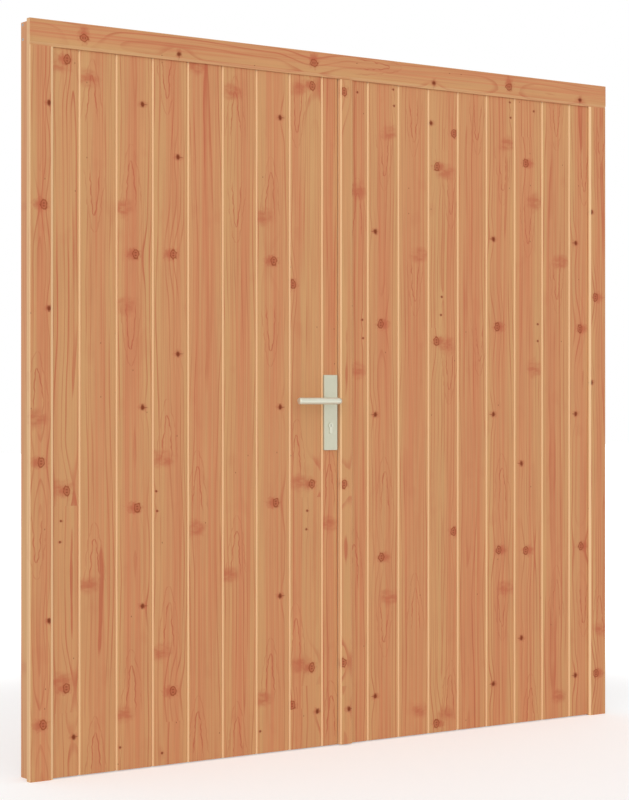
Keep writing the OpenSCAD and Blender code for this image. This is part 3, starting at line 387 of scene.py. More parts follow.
@dataclass(frozen=True)
class TimberPattern:
    """Growth rings, streaks, pin marks and chance knots of a flat-sawn softwood board, in metres."""

    mark: NodeTree
    ring_width: float = 0.0125
    ring_drift: float = 0.01
    middle_spread: float = 0.06
    middle_wander: float = 0.05
    middle_swing: float = 0.085
    middle_lean: float = 0.03
    least_depth: float = 0.012
    depth_spread: float = 0.03
    waver: float = 0.006
    line_rise: tuple[float, float] = (0.62, 0.9)
    line_fall: Span = (0.93, 1.0, 1.0, 0.0)
    line_fade: Span = (0.34, 0.62, 0.15, 1.0)
    line_luck: Span = (0.1, 0.8, 0.15, 1.0)
    knot_cells: tuple[float, float] = (7.0, 2.6)
    black_size: float = 0.0058
    ringed_more: float = 0.003
    ringed_spread: float = 0.005
    speck_cells: tuple[float, float] = (22.0, 6.0)
    speck_share: float = 0.14
    speck_squash: float = 0.55
    speck: Span = (0.0006, 0.0018, 1.0, 0.0)

    def scatter(self, g: Graph, x: object, z: object, shift: object,
                cells: tuple[float, float]) -> tuple[list, list]:
        """Scatters one point in each cell of a grid on the board's face.

        Args:
            g: Graph to build in.
            x: Place across the board.
            z: Place along the board.
            shift: Offset that differs from board to board.
            cells: Cells in a metre across and along the board.

        Returns:
            The distances across and along to the nearest point, and three random values of its cell.
        """
        u = g.total(g.times(x, cells[0]), shift)
        v = g.total(g.times(z, cells[1]), g.times(shift, 1.9))
        inputs = {"Vector": g.combine(u, v, 0.0), "Scale": 1.0, "Randomness": 0.9}
        node = g.add("ShaderNodeTexVoronoi", inputs, voronoi_dimensions="2D")
        spots = zip(g.split(node.outputs["Position"]), (u, v), cells)
        away = [g.times(g.math("SUBTRACT", spot, here), 1 / cell) for spot, here, cell in spots]
        return away, g.split(node.outputs["Color"])

    def chance_knots(self, g: Graph, place: tuple, shift: object, share: object) -> list[NodeSocket]:
        """Draws knots at random places.

        Args:
            g: Graph to build in.
            place: Places across and along the board, and the ragged value there.
            shift: Offset that differs from board to board.
            share: Share of the grid's cells that hold a knot.

        Returns:
            Their heart, dark, halo and bend.
        """
        x, z, ragged = place
        away, luck = self.scatter(g, x, z, shift, self.knot_cells)
        black = g.math("LESS_THAN", luck[2], 0.5)
        more = g.total(self.ringed_more, g.times(luck[1], self.ringed_spread))
        size = g.total(self.black_size, g.times(g.math("SUBTRACT", 1.0, black), more))
        present = g.math("LESS_THAN", luck[0], share)
        values = {"Across": away[0], "Along": away[1], "Size": size, "Black": black, "Ragged": ragged}
        return [g.times(output, present) for output in g.group(self.mark, values)]

    def rings(self, g: Graph, place: tuple, seed: object, shift: object, bend: object,
              freedom: object) -> NodeSocket:
        """Cuts the board out of a log and returns the mask of its latewood lines.

        Args:
            g: Graph to build in.
            place: Places across, into and along the board.
            seed: Number of the board.
            shift: Offset that differs from board to board.
            bend: How far knots push the rings aside.
            freedom: How far the log's middle may swing, so that its rings close in arches.

        Returns:
            The mask, from 0 in the soft wood to 1 in the middle of a line.
        """
        x, y, z = place
        dice = g.split(g.add("ShaderNodeTexWhiteNoise", {"W": seed}, noise_dimensions="1D").outputs["Color"])
        wander = g.centred(g.weave((shift, 3.0, z), (1, 1, 1.5)))
        swing = g.centred(g.weave((shift, 47.0, z), (1, 1, 1.3)))
        lean = g.times(z, g.centred(dice[2]), self.middle_lean)
        middle = g.total(g.times(g.centred(dice[0]), self.middle_spread), g.times(wander, self.middle_wander))
        swing = g.total(g.times(swing, self.middle_swing), lean)
        depth = g.total(self.least_depth, g.times(dice[1], self.depth_spread), g.times(swing, freedom))
        waver = g.times(g.weave(place, (28.0, 28.0, 6.0), 2.0), self.waver)
        ring_r = g.total(g.length(g.math("SUBTRACT", x, middle), g.total(y, depth)), bend, waver)
        drift = g.centred(g.weave((ring_r, shift, 0.0), (45.0, 1, 1)))
        count = g.times(g.total(ring_r, g.times(drift, self.ring_drift)), 1 / self.ring_width)
        phase = g.math("FRACT", count)
        line = g.times(g.step(phase, *self.line_rise), g.step(phase, *self.line_fall))
        number = g.total(g.math("FLOOR", count), seed)
        luck = g.add("ShaderNodeTexWhiteNoise", {"W": number}, noise_dimensions="1D").outputs["Value"]
        fade = g.step(g.weave((x, shift, z), (22.0, 1, 3.0), 2.0), *self.line_fade)
        return g.times(line, fade, g.step(luck, *self.line_luck))

    def build(self) -> NodeTree:
        """Builds the shader node group of the pattern.

        Returns:
            The group.
        """
        g, source, sink = new_group(
            "knotty_timber",
            {"Place": "Vector", "Seed": "Float", "Chance": "Float", "Knots": "Float", "Ragged": "Float",
             "Heart": "Float", "Dark": "Float", "Halo": "Float", "Bend": "Float", "Line": "Float",
             "Inside": "Float", "Band": "Float", "Pale": "Color", "Red": "Color", "Latewood": "Color",
             "Heartwood": "Color", "Knot": "Color"},
            {"Color": "Color", "Roughness": "Float", "Height": "Float"},
        )
        place, seed, freedom, share, ragged, heart, dark, halo, bend = source.outputs[:9]
        drawn, inside, band, pale, red, late, heartwood, knot = source.outputs[9:17]
        x, y, z = g.split(place)
        shift = g.times(seed, 3.71)
        chance = self.chance_knots(g, (x, z, ragged), shift, share)
        heart, dark, halo = [g.math("MAXIMUM", a, b) for a, b in zip((heart, dark, halo), chance)]
        line = self.rings(g, (x, y, z), seed, shift, g.total(bend, chance[3]), freedom)
        line = g.times(line, g.total(1.0, g.times(inside, -0.8)))
        line = g.math("MAXIMUM", line, drawn)

        zone = g.combine(g.total(g.times(x, 19.0), shift), g.times(y, 19.0), g.times(z, 1.1))
        zone = g.math("MAXIMUM", g.times(g.step(g.noise(zone), 0.4, 0.6), freedom), band)
        fibre = g.weave((x, y, z), (330.0, 330.0, 6.0), 3.0)
        streak = g.weave((x, y, z), (150.0, 150.0, 1.6))
        cloud = g.weave((x, shift, z), (9.0, 1, 5.0), 3.0)
        blush = g.step(g.weave((x, shift, z), (14.0, 1.3, 9.0), 2.0), 0.62, 0.74)

        specks, luck = self.scatter(g, x, z, g.times(shift, 2.3), self.speck_cells)
        speck = g.step(g.length(specks[0], g.times(specks[1], self.speck_squash)), *self.speck)
        speck = g.times(speck, g.math("LESS_THAN", luck[0], self.speck_share))

        layers = (
            (zone, 0.78, red),
            (g.step(streak, 0.48, 0.72), 0.32, late),
            (g.math("MAXIMUM", halo, g.times(blush, freedom, 0.5)), 0.74, late),
            (line, 0.72, late),
            (heart, 0.9, heartwood),
            (g.math("MAXIMUM", dark, g.times(speck, 0.8)), 0.86, knot),
        )
        colour = pale
        for mask, strength, tint in layers:
            colour = g.mix(g.times(mask, strength), colour, tint)
        tone = g.total(0.8, g.times(fibre, 0.17), g.times(cloud, 0.1), g.times(streak, 0.13))
        g.wire(sink, {
            "Color": g.mix(1.0, colour, g.combine(tone, tone, tone), "MULTIPLY"),
            "Roughness": g.total(0.5, g.times(fibre, 0.16), g.times(heart, -0.12)),
            "Height": g.total(g.times(fibre, 0.6), g.times(line, 0.5), g.times(dark, -0.6)),
        })
        return g.tree


@dataclass(frozen=True)
class PaintedEdgeHighlight:
    """Mask of the painted highlight on bevel faces, arrises and square sides, which are painted paler than
    the face of the wood; a bevel that faces left gets more of it than one that faces right.
    """

    # Spans over which the painted highlight comes in: the slant of a bevel, the x of its normal, and the x of
    # a square side's normal.
    slant: tuple[float, float] = (0.12, 0.26)
    faces_right: tuple[float, float] = (0.1, 0.3)
    square: tuple[float, float] = (0.94, 0.96)

    def build(self) -> NodeTree:
        """Builds the shader node group of the mask.

        Returns:
            The group.
        """
        g, source, sink = new_group(
            "painted_edge_highlight", {"Normal": "Vector", "Bevel highlight": "Float", "Right": "Float", "Side highlight": "Float"},
            {"Mask": "Float"},
        )
        parts = g.split(source.outputs["Normal"])
        x, y, z = [g.math("ABSOLUTE", part) for part in parts]
        slant = g.total(g.times(x, y), g.times(y, z), g.times(z, x))
        # Painted highlight by direction: full on a bevel that faces left, down to the Right weight on one
        # that faces right.
        way = g.step(parts[0], *self.faces_right, 1.0, source.outputs["Right"])
        bevel_highlight = g.times(g.step(slant, *self.slant), way, source.outputs["Bevel highlight"])
        sides = g.times(g.step(x, *self.square), source.outputs["Side highlight"])
        g.feed(sink.inputs["Mask"], g.math("MAXIMUM", bevel_highlight, sides))
        return g.tree


@dataclass(frozen=True)
class Timber:
    """Planed, unpainted softwood with its own rings and knots on each piece, and a painted highlight on its
    bevel faces and sides.
    """

    pattern: NodeTree
    mark: NodeTree
    arch: NodeTree
    edge: NodeTree
    knots: float = 0.5
    # Strengths of the painted highlight: on bevel faces turned left, on those turned right, and on square
    # sides.
    bevel_highlight: float = 0.85
    right_bevel_highlight: float = 0.15
    sides: float = 0.0
    arch_reach: float = 0.15
    placed_chance: float = 0.3
    arch_waver: float = 0.012
    wisp: Span = (0.32, 0.62, 0.5, 1.2)
    drawn_fade: Span = (0.25, 0.6, 0.35, 1.0)
    band_sway: float = 0.03
    band_fray: float = 0.04
    band_streak: Span = (0.3, 0.62, 0.45, 1.0)
    band_thread: Span = (0.3, 0.6, 0.5, 1.1)
    specular: float = 0.15
    bump: float = 0.35
    bump_depth: float = 0.0004
    pale: Colour = srgb(219, 166, 114)
    red: Colour = srgb(216, 140, 99)
    late: Colour = srgb(196, 102, 72)
    heartwood: Colour = srgb(160, 78, 44)
    dark: Colour = srgb(120, 44, 8)
    # Pale colour that the painted highlight mixes in.
    fresh: Colour = srgb(255, 214, 164)

    def nearest(self, g: Graph, z: object, marks: list[Mark]) -> list[object]:
        """Picks the mark whose middle is nearest along the piece.

        Args:
            g: Graph to build in.
            z: Place along the piece.
            marks: The marks to pick from, one at least.

        Returns:
            The place across and along of that mark, and its size with its sign.
        """
        chosen: object = marks[0].numbers()
        least = g.math("ABSOLUTE", g.total(z, -marks[0].middle(self.arch_reach)))
        for mark in marks[1:]:
            gap = g.math("ABSOLUTE", g.total(z, -mark.middle(self.arch_reach)))
            nearer = g.math("LESS_THAN", gap, least)
            chosen = g.mix_vector(nearer, chosen, mark.numbers())
            least = g.math("MINIMUM", gap, least)
        return g.split(chosen)

    def place_knots(self, g: Graph, place: tuple, marks: list[Mark], way: float = 1.0) -> list[object]:
        """Draws knots or blushes that have a chosen place.

        Args:
            g: Graph to build in.
            place: Places across and along the piece, and the ragged value there.
            marks: The marks of these kinds.
            way: 1 where their fans open to the left, -1 where they open to the right.

        Returns:
            Their heart, dark, halo and bend, or zeros where there is none.
        """
        if not marks:
            return [0.0, 0.0, 0.0, 0.0]
        x, z, ragged = place
        across, along, size = self.nearest(g, z, marks)
        return g.group(self.mark, {
            "Across": g.times(g.math("SUBTRACT", x, across), way), "Along": g.math("SUBTRACT", z, along),
            "Size": g.math("ABSOLUTE", size), "Black": g.math("LESS_THAN", size, 0.0), "Ragged": ragged,
        })

    def place_arches(self, g: Graph, x: object, z: object, marks: list[Mark]) -> list[object]:
        """Draws the arches of the grain that have a chosen place.

        Args:
            g: Graph to build in.
            x: Place across the piece, with the waver of its grain.
            z: Place along the piece.
            marks: The arches.

        Returns:
            Their line and inside, or zeros where there is none.
        """
        if not marks:
            return [0.0, 0.0]
        across, along, width = self.nearest(g, z, marks)
        return g.group(self.arch, {
            "Across": g.math("SUBTRACT", x, across),
            "Along": g.times(g.math("SUBTRACT", z, along), g.math("SIGN", width)),
            "Reach": self.arch_reach, "Width": g.math("ABSOLUTE", width),
        })

    def warm_band(self, g: Graph, x: object, z: object, seed: float,
                  band: tuple[float, float]) -> NodeSocket:
        """Draws the redder band that runs up a board, with a streaky edge.

        Args:
            g: Graph to build in.
            x: Place across the piece.
            z: Place along the piece.
            seed: Number of the piece.
            band: Middle and half width of the band.

        Returns:
            The mask of the band.
        """
        middle, half = band
        streak = g.weave((x, seed, z), (85.0, 1, 1.2))
        thread = g.weave((x, seed, z), (230.0, 1, 1.7))
        sway = g.centred(g.weave((seed, 9.0, z), (1, 1, 2.2)))
        away = g.math("ABSOLUTE", g.total(x, -middle, g.times(sway, self.band_sway)))
        away = g.total(away, g.times(g.centred(streak), self.band_fray))
        whole = g.step(away, half * 0.6, half * 1.2, 1.0, 0.0)
        return g.times(whole, g.step(streak, *self.band_streak), g.step(thread, *self.band_thread))

    def material(self, name: str, centre: Vector, grain: Grain, seed: float,
                 marks: tuple[Mark, ...] = (), band: tuple[float, float] | None = None) -> Material:
        """Makes the material of one piece of timber.

        Args:
            name: Name of the material.
            centre: Middle of the piece.
            grain: Direction of its grain.
            seed: Number that sets its rings and knots apart from the others.
            marks: Marks at chosen places, which leave fewer to chance.
            band: Middle and half width of its redder band, where that is chosen too.

        Returns:
            The material.
        """
        material, g, shader = new_material(name)
        where = g.add("ShaderNodeTexCoord").outputs
        moved = g.add("ShaderNodeMapping", {"Vector": where["Object"], "Location": -centre}).outputs[0]
        angles = (0.0, math.radians(grain.value), 0.0)
        place = g.add("ShaderNodeMapping", {"Vector": moved, "Rotation": angles}).outputs[0]
        x, _, z = g.split(place)
        ragged = g.noise(place, 110.0, 1.0)
        smoky = g.noise(place, 42.0, 1.0)
        waver = g.times(g.centred(g.weave((seed, 5.0, z), (1, 1, 11.0))), self.arch_waver)
        wavy = g.total(x, waver, g.times(g.centred(smoky), self.arch_waver))
        arches = [mark for mark in marks if mark.kind in (MarkKind.ARCH, MarkKind.DIP)]
        blushes = [mark for mark in marks if mark.kind is MarkKind.BLUSH]
        knots = [mark for mark in marks if mark not in arches and mark not in blushes]
        heart, dark, halo, bend = self.place_knots(g, (x, z, ragged), knots, 1.0 if centre.x < 0 else -1.0)
        wisp = g.step(g.weave((x, seed, z), (30.0, 1, 75.0), 2.0), *self.wisp)
        smudge = g.times(self.place_knots(g, (x, z, smoky), blushes)[2], wisp)
        line, inside = self.place_arches(g, wavy, z, arches)
        colour, rough, height = g.group(self.pattern, {
            "Place": place, "Seed": seed, "Ragged": ragged,
            "Chance": self.placed_chance if marks else 1.0, "Knots": 0.0 if marks else self.knots,
            "Heart": heart, "Dark": dark, "Halo": g.math("MAXIMUM", halo, smudge), "Bend": bend,
            "Line": g.times(line, g.step(smoky, *self.drawn_fade)), "Inside": inside,
            "Band": self.warm_band(g, x, z, seed, band) if band else 0.0,
            "Pale": self.pale, "Red": self.red, "Latewood": self.late,
            "Heartwood": self.heartwood, "Knot": self.dark,
        })
        # Painted highlight: bevel faces and sides are mixed towards the pale colour by the way they face.
        edge = g.group(self.edge, {"Normal": where["Normal"], "Bevel highlight": self.bevel_highlight,
                                   "Right": self.right_bevel_highlight, "Side highlight": self.sides})[0]
        relief = {"Strength": self.bump, "Distance": self.bump_depth, "Height": height}
        g.wire(shader, {
            "Base Color": g.mix(edge, colour, self.fresh), "Roughness": rough,
            "Normal": g.add("ShaderNodeBump", relief).outputs[0], "Specular IOR Level": self.specular,
        })
        return material


@dataclass(frozen=True)
class BrushedPattern:
    """Fine satin lines and faint clouding on metal."""

    fine: float = 2600.0
    coarse: float = 60.0
    worn: Span = (0.35, 0.8, 0.0, 0.6)
    roughness_spread: float = 0.18

    def build(self) -> NodeTree:
        """Builds the shader node group of the pattern.

        Returns:
            The group.
        """
        g, source, sink = new_group(
            "satin_lines", {"Place": "Vector", "Tint": "Color", "Wear": "Color", "Roughness": "Float"},
            {"Color": "Color", "Roughness": "Float", "Height": "Float"},
        )
        place, tint, wear, rough = source.outputs[:4]
        cloud = g.noise(place, self.coarse, 3.0)
        g.wire(sink, {
            "Color": g.mix(g.step(cloud, *self.worn), tint, wear),
            "Roughness": g.total(rough, g.times(g.centred(cloud), self.roughness_spread)),
            "Height": g.weave(g.split(place), (self.fine, self.fine, self.coarse)),
        })
        return g.tree


@dataclass(frozen=True)
class Metal:
    """A satin or plated metal."""

    pattern: NodeTree
    name: str
    tint: Colour
    wear: Colour
    roughness: float
    metallic: float
    bump: float = 0.12
    bump_depth: float = 0.0001

    def material(self) -> Material:
        """Makes the metal's material.

        Returns:
            The material.
        """
        material, g, shader = new_material(self.name)
        colour, rough, height = g.group(self.pattern, {
            "Place": g.add("ShaderNodeTexCoord").outputs["Object"], "Tint": self.tint, "Wear": self.wear,
            "Roughness": self.roughness,
        })
        relief = {"Strength": self.bump, "Distance": self.bump_depth, "Height": height}
        g.wire(shader, {
            "Base Color": colour, "Roughness": rough,
            "Normal": g.add("ShaderNodeBump", relief).outputs[0], "Metallic": self.metallic,
        })
        return material


FRONT_MARKS: dict[MarkKind, tuple[tuple[float, float], ...]] = {
    MarkKind.RINGED_KNOT: (
        (-1.008, 1.551), (-1.016, 0.857), (-1.010, 0.151), (-0.933, 1.949), (-0.934, 0.778), (-0.935, 0.243),
        (-0.718, 1.430), (-0.713, 0.726), (-0.596, 1.434), (-0.597, 0.208), (-0.255, 1.429), (-0.248, 0.727),
        (-0.118, 1.950), (-0.188, 1.363), (-0.120, 0.778), (-0.120, 0.238), (-0.190, 0.133), (-0.012, 1.940),
        (-0.012, 0.775), (-0.014, 0.245), (0.134, 1.254), (0.137, 0.551), (0.418, 1.850), (0.351, 1.743),
        (0.349, 1.206), (0.416, 0.618), (0.349, 0.030), (0.593, 1.255), (0.600, 0.553), (0.712, 1.777),
        (0.712, 0.547), (0.944, 1.256), (0.948, 0.551), (1.005, 1.359), (1.008, 0.135), (-0.885, 2.011),
        (-0.118, 2.016), (0.635, 2.012),
    ),
    MarkKind.BLACK_KNOT: (
        (-0.992, 1.826), (-0.992, 1.272), (-0.992, 0.430), (-0.913, 0.109), (-0.696, 1.847), (-0.696, 1.004),
        (-0.696, 0.452), (-0.581, 1.708), (-0.581, 1.155), (-0.233, 1.847), (-0.233, 1.004), (-0.233, 0.455),
        (-0.100, 0.107), (0.006, 0.107), (0.114, 1.532), (0.114, 0.981), (0.114, 0.134), (0.328, 1.875),
        (0.578, 1.530), (0.578, 0.980), (0.578, 0.134), (0.694, 0.824), (0.694, 0.270), (0.926, 1.533),
        (0.926, 0.980), (0.925, 0.134), (0.988, 1.636), (0.988, 1.082), (-0.582, 1.997), (0.333, 1.997),
        (0.937, 1.996),
    ),
    MarkKind.PIN_KNOT: (
        (-0.952, 0.697), (-0.955, 0.640), (-0.768, 0.066), (-0.652, 0.770), (-0.649, 0.715), (-0.633, 0.037),
        (-0.303, 0.067), (-0.137, 0.700), (-0.140, 0.645), (0.047, 1.945), (0.065, 1.265), (0.068, 1.210),
        (0.182, 1.965), (0.185, 1.916), (0.370, 1.343), (0.367, 1.287), (0.646, 1.965), (0.649, 1.917),
        (0.746, 1.945), (0.763, 1.267), (0.763, 1.213),
    ),
    MarkKind.BLUSH: (
        (-1.030, 0.975), (-0.950, 1.935), (-0.950, 0.785), (-0.950, 0.262), (-0.868, 1.905), (-0.868, 0.520),
        (-0.760, 1.555), (-0.755, 1.285), (-0.755, 0.155), (-0.628, 0.860), (-0.638, 0.320), (-0.520, 1.970),
        (-0.522, 0.660), (-0.395, 1.910), (-0.410, 0.525), (-0.291, 1.555), (-0.291, 0.160), (-0.160, 1.940),
        (-0.160, 0.785), (-0.160, 0.250), (-0.062, 0.660), (0.047, 1.650), (0.047, 1.115), (0.169, 1.834),
        (0.170, 0.430), (0.285, 1.467), (0.285, 0.076), (0.385, 1.730), (0.385, 1.195), (0.385, 0.055),
        (0.636, 1.833), (0.631, 0.433), (0.753, 1.656), (0.748, 1.125), (0.862, 1.468), (0.852, 0.073),
        (1.030, 0.280),
    ),
    MarkKind.ARCH: (
        (-1.026, 1.111), (-0.856, 1.914), (-0.848, 0.645), (-0.845, 0.115), (-0.732, 1.689), (-0.732, 0.290),
        (-0.617, 0.983), (-0.610, 0.458), (-0.517, 0.838), (-0.514, 0.144), (-0.388, 1.910), (-0.384, 0.650),
        (-0.380, 0.117), (-0.267, 1.687), (-0.267, 0.290), (-0.174, 0.924), (-0.177, 0.387), (-0.055, 0.837),
        (-0.050, 0.150), (0.047, 1.645), (0.035, 0.595), (0.149, 0.810), (0.266, 0.453), (0.403, 0.177),
        (0.614, 0.812), (0.733, 0.110), (0.843, 0.450), (1.024, 0.389),
    ),
    MarkKind.DIP: (
        (-1.028, 0.587), (-0.848, 1.529), (-0.732, 1.164), (-0.617, 1.869), (-0.384, 1.520), (-0.265, 1.166),
        (-0.171, 1.807), (0.035, 0.445), (0.148, 1.700), (0.148, 0.293), (0.262, 1.810), (0.266, 1.325),
        (0.406, 1.597), (0.400, 1.056), (0.514, 1.834), (0.521, 1.145), (0.617, 1.683), (0.613, 0.310),
        (0.722, 1.520), (0.843, 1.870), (0.846, 1.347), (0.962, 1.700), (0.960, 0.300), (1.030, 1.790),
        (0.163, 2.030),
    ),
}
"""Places of the chosen marks on the front, to the right of its middle line and over the floor, in metres."""

WARM_SHARES: tuple[tuple[float, float], ...] = (
    (0.2, 0.9), (0.0, 0.1), (0.3, 0.7), (0.15, 0.75), (0.28, 0.8), (0.02, 0.88), (0.28, 0.8), (0.2, 0.8),
    (0.05, 0.38), (0.05, 0.9), (0.0, 0.05), (0.45, 0.95), (0.25, 0.85), (0.15, 0.98), (0.62, 0.98),
    (0.05, 0.92), (0.2, 0.8), (0.12, 0.75), (0.15, 0.8), (0.3, 0.95), (0.3, 0.95),
)
"""Start and end of the redder band of each upright front piece, in shares of its width, from the left."""


@dataclass
class Woodwork:
    """Every timber piece of the frame and the two leaves."""

    nodes: dict[str, Object]
    boards: Timber
    trim: Timber
    framing: Timber
    # Weaker painted highlight on the head casing's bevel faces.
    head_bevel_highlight: float = 0.22
    head_band: tuple[float, float] = (0.012, 0.024)
    # Painted highlight on the square sides of passive_board_9, which paints light into the shade of the gap
    # between the leaves.
    closing_edge_highlight: float = 0.9

    def fronts(self) -> list[str]:
        """Returns the names of the pieces that show in front."""
        words = ("_casing", "_board_", "meeting_strip")
        return [name for name in self.nodes if any(word in name for word in words)]

    def marks(self) -> dict[str, tuple[Mark, ...]]:
        """Shares the chosen marks out to the foremost piece that each lies on.

        Returns:
            The marks of each piece that has any, by its name.
        """
        shared: dict[str, tuple[Mark, ...]] = {}
        boxes = {name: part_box(name) for name in self.fronts()}
        for kind, places in FRONT_MARKS.items():
            for x, z in places:
                under = [(round(low.y, 4), abs((low.x + high.x) / 2 - x), name)
                         for name, (low, high) in boxes.items()
                         if low.x <= x <= high.x and low.z <= z <= high.z]
                if not under:
                    continue
                name = min(under)[2]
                low, high = boxes[name]
                right, up = x - (low.x + high.x) / 2, z - (low.z + high.z) / 2
                mark = Mark(kind, up, -right) if self.grain_of(name) is Grain.LEVEL else Mark(kind, right, up)
                shared[name] = shared.get(name, ()) + (mark,)
        return shared

    def bands(self) -> dict[str, tuple[float, float]]:
        """Finds the redder band of each front piece.

        Returns:
            The middle and half width of the band across the piece, by its name.
        """
        upright = [name for name in self.fronts() if self.grain_of(name) is Grain.UPRIGHT]
        boxes = {name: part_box(name) for name in upright}
        upright.sort(key=lambda name: boxes[name][0].x + boxes[name][1].x)
        widths = [boxes[name][1].x - boxes[name][0].x for name in upright]
        bands = {name: (((start + end) / 2 - 0.5) * width, (end - start) / 2 * width)
                 for name, width, (start, end) in zip(upright, widths, WARM_SHARES)}
        bands["top_casing"] = self.head_band
        return bands

    def grain_of(self, name: str) -> Grain:
        """Returns the direction of the grain of a piece."""
        if "brace" in name:
            return Grain.LEANS_RIGHT if name.startswith("active") else Grain.LEANS_LEFT
        return Grain.LEVEL if "rail" in name or name == "top_casing" else Grain.UPRIGHT

    def names(self) -> list[str]:
        """Returns the names of the timber nodes."""
        words = ("_post", "_rail", "_casing", "_board_", "_stile", "_braces", "meeting_strip")
        return [name for name in self.nodes if any(word in name for word in words)]

    def dress(self) -> None:
        """Gives each timber node its own material."""
        marks, bands = self.marks(), self.bands()
        for place, name in enumerate(self.names()):
            low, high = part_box(name)
            trim = "casing" in name or name == "meeting_strip"
            finish = self.trim if trim else self.boards if "_board_" in name else self.framing
            # The head casing and passive_board_9 get painted highlights of their own strength.
            if name == "top_casing":
                finish = replace(finish, bevel_highlight=self.head_bevel_highlight)
            elif name == "passive_board_9":
                finish = replace(finish, sides=self.closing_edge_highlight)
            seed = 1.7 + 2.39 * place
            material = finish.material(f"timber_{name}", (low + high) / 2, self.grain_of(name), seed,
                                       marks.get(name, ()), bands.get(name))
            slots = self.nodes[name].data.materials
            slots.clear()
            slots.append(material)
            LOG.info("timber %s, grain %s", name, self.grain_of(name).name)


@dataclass(frozen=True)
class Lever:
    """A round lever handle: neck, swelling, bend, bar and a softly rounded end, in metres."""

    name: str
    replaced: str
    way: float
    centre_x: float = -0.0565
    centre_z: float = 1.022
    seat: float = 0.0268
    bend_start: float = 0.067
    swelling: float = 0.006
    neck_r: float = 0.009
    bar_r: float = 0.010
    bend_r: float = 0.013
    end_x: float = -0.2065
    nose: float = 0.004
    nose_taper: float = 0.0035
    groove: float = 0.0006
    groove_w: float = 0.002
    sides: int = 40
    bend_rings: int = 14
    nose_rings: int = 6
    sharp_angle: float = 50.0

    def rings(self) -> list[tuple[Vector, Vector, float]]:
        """Lays out the rings that the lever is swept through, from its seat to its end.

        Returns:
            The middle, the direction and the radius of each ring.
        """
        out, left = Vector((0.0, -1.0, 0.0)), Vector((-1.0, 0.0, 0.0))
        spot = Vector((self.centre_x, 0.0, self.centre_z))
        neck = self.bend_start - self.swelling
        rows = [(spot + out * at, out, radius) for at, radius in (
            (self.seat, self.neck_r), (neck - 2 * self.groove_w, self.neck_r),
            (neck - 1.5 * self.groove_w, self.neck_r - self.groove),
            (neck - self.groove_w, self.neck_r), (neck, self.neck_r), (self.bend_start, self.bar_r))]
        middle = spot + out * self.bend_start + left * self.bend_r
        for step in range(1, self.bend_rings + 1):
            turn = math.pi / 2 * step / self.bend_rings
            spoke = left * -math.cos(turn) + out * math.sin(turn)
            heading = out * math.cos(turn) + left * math.sin(turn)
            rows.append((middle + spoke * self.bend_r, heading, self.bar_r))
        bar = middle + out * self.bend_r
        for step in range(self.nose_rings + 1):
            turn = math.pi / 2 * step / self.nose_rings
            x = self.end_x + self.nose * (1 - math.sin(turn))
            radius = self.bar_r - self.nose_taper * (1 - math.cos(turn))
            rows.append((Vector((x, bar.y, bar.z)), left, radius))
        return rows

    def build(self, metal: Material) -> Object:
        """Sweeps the lever, lets it ride on the lever set and hides the node that it stands for.

        Args:
            metal: Its finish.

        Returns:
            The lever.
        """
        shell = bmesh.new()
        up = Vector((0.0, 0.0, 1.0))
        turns = [2 * math.pi * side / self.sides for side in range(self.sides)]
        loops = []
        for middle, direction, radius in self.rings():
            aside = direction.cross(up)
            spokes = [aside * math.cos(turn) + up * math.sin(turn) for turn in turns]
            loops.append([shell.verts.new(middle + spoke * radius) for spoke in spokes])
        for first, second in zip(loops, loops[1:]):
            for side in range(self.sides):
                after = (side + 1) % self.sides
                shell.faces.new((first[side], first[after], second[after], second[side]))
        shell.faces.new(loops[0])
        shell.faces.new(loops[-1])
        if self.way > 0:
            bmesh.ops.scale(shell, vec=(1.0, -1.0, 1.0), verts=shell.verts)
        bmesh.ops.recalc_face_normals(shell, faces=shell.faces)
        for face in shell.faces:
            face.smooth = True
        mesh = bpy.data.meshes.new(self.name)
        shell.to_mesh(mesh)
        shell.free()
        mesh.set_sharp_from_angle(angle=math.radians(self.sharp_angle))
        mesh.materials.append(metal)
        lever = put(self.name, mesh)
        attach(lever, "lever_set")
        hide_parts(self.replaced)
        LOG.info("lever %s, %d faces", self.name, len(mesh.polygons))
        return lever


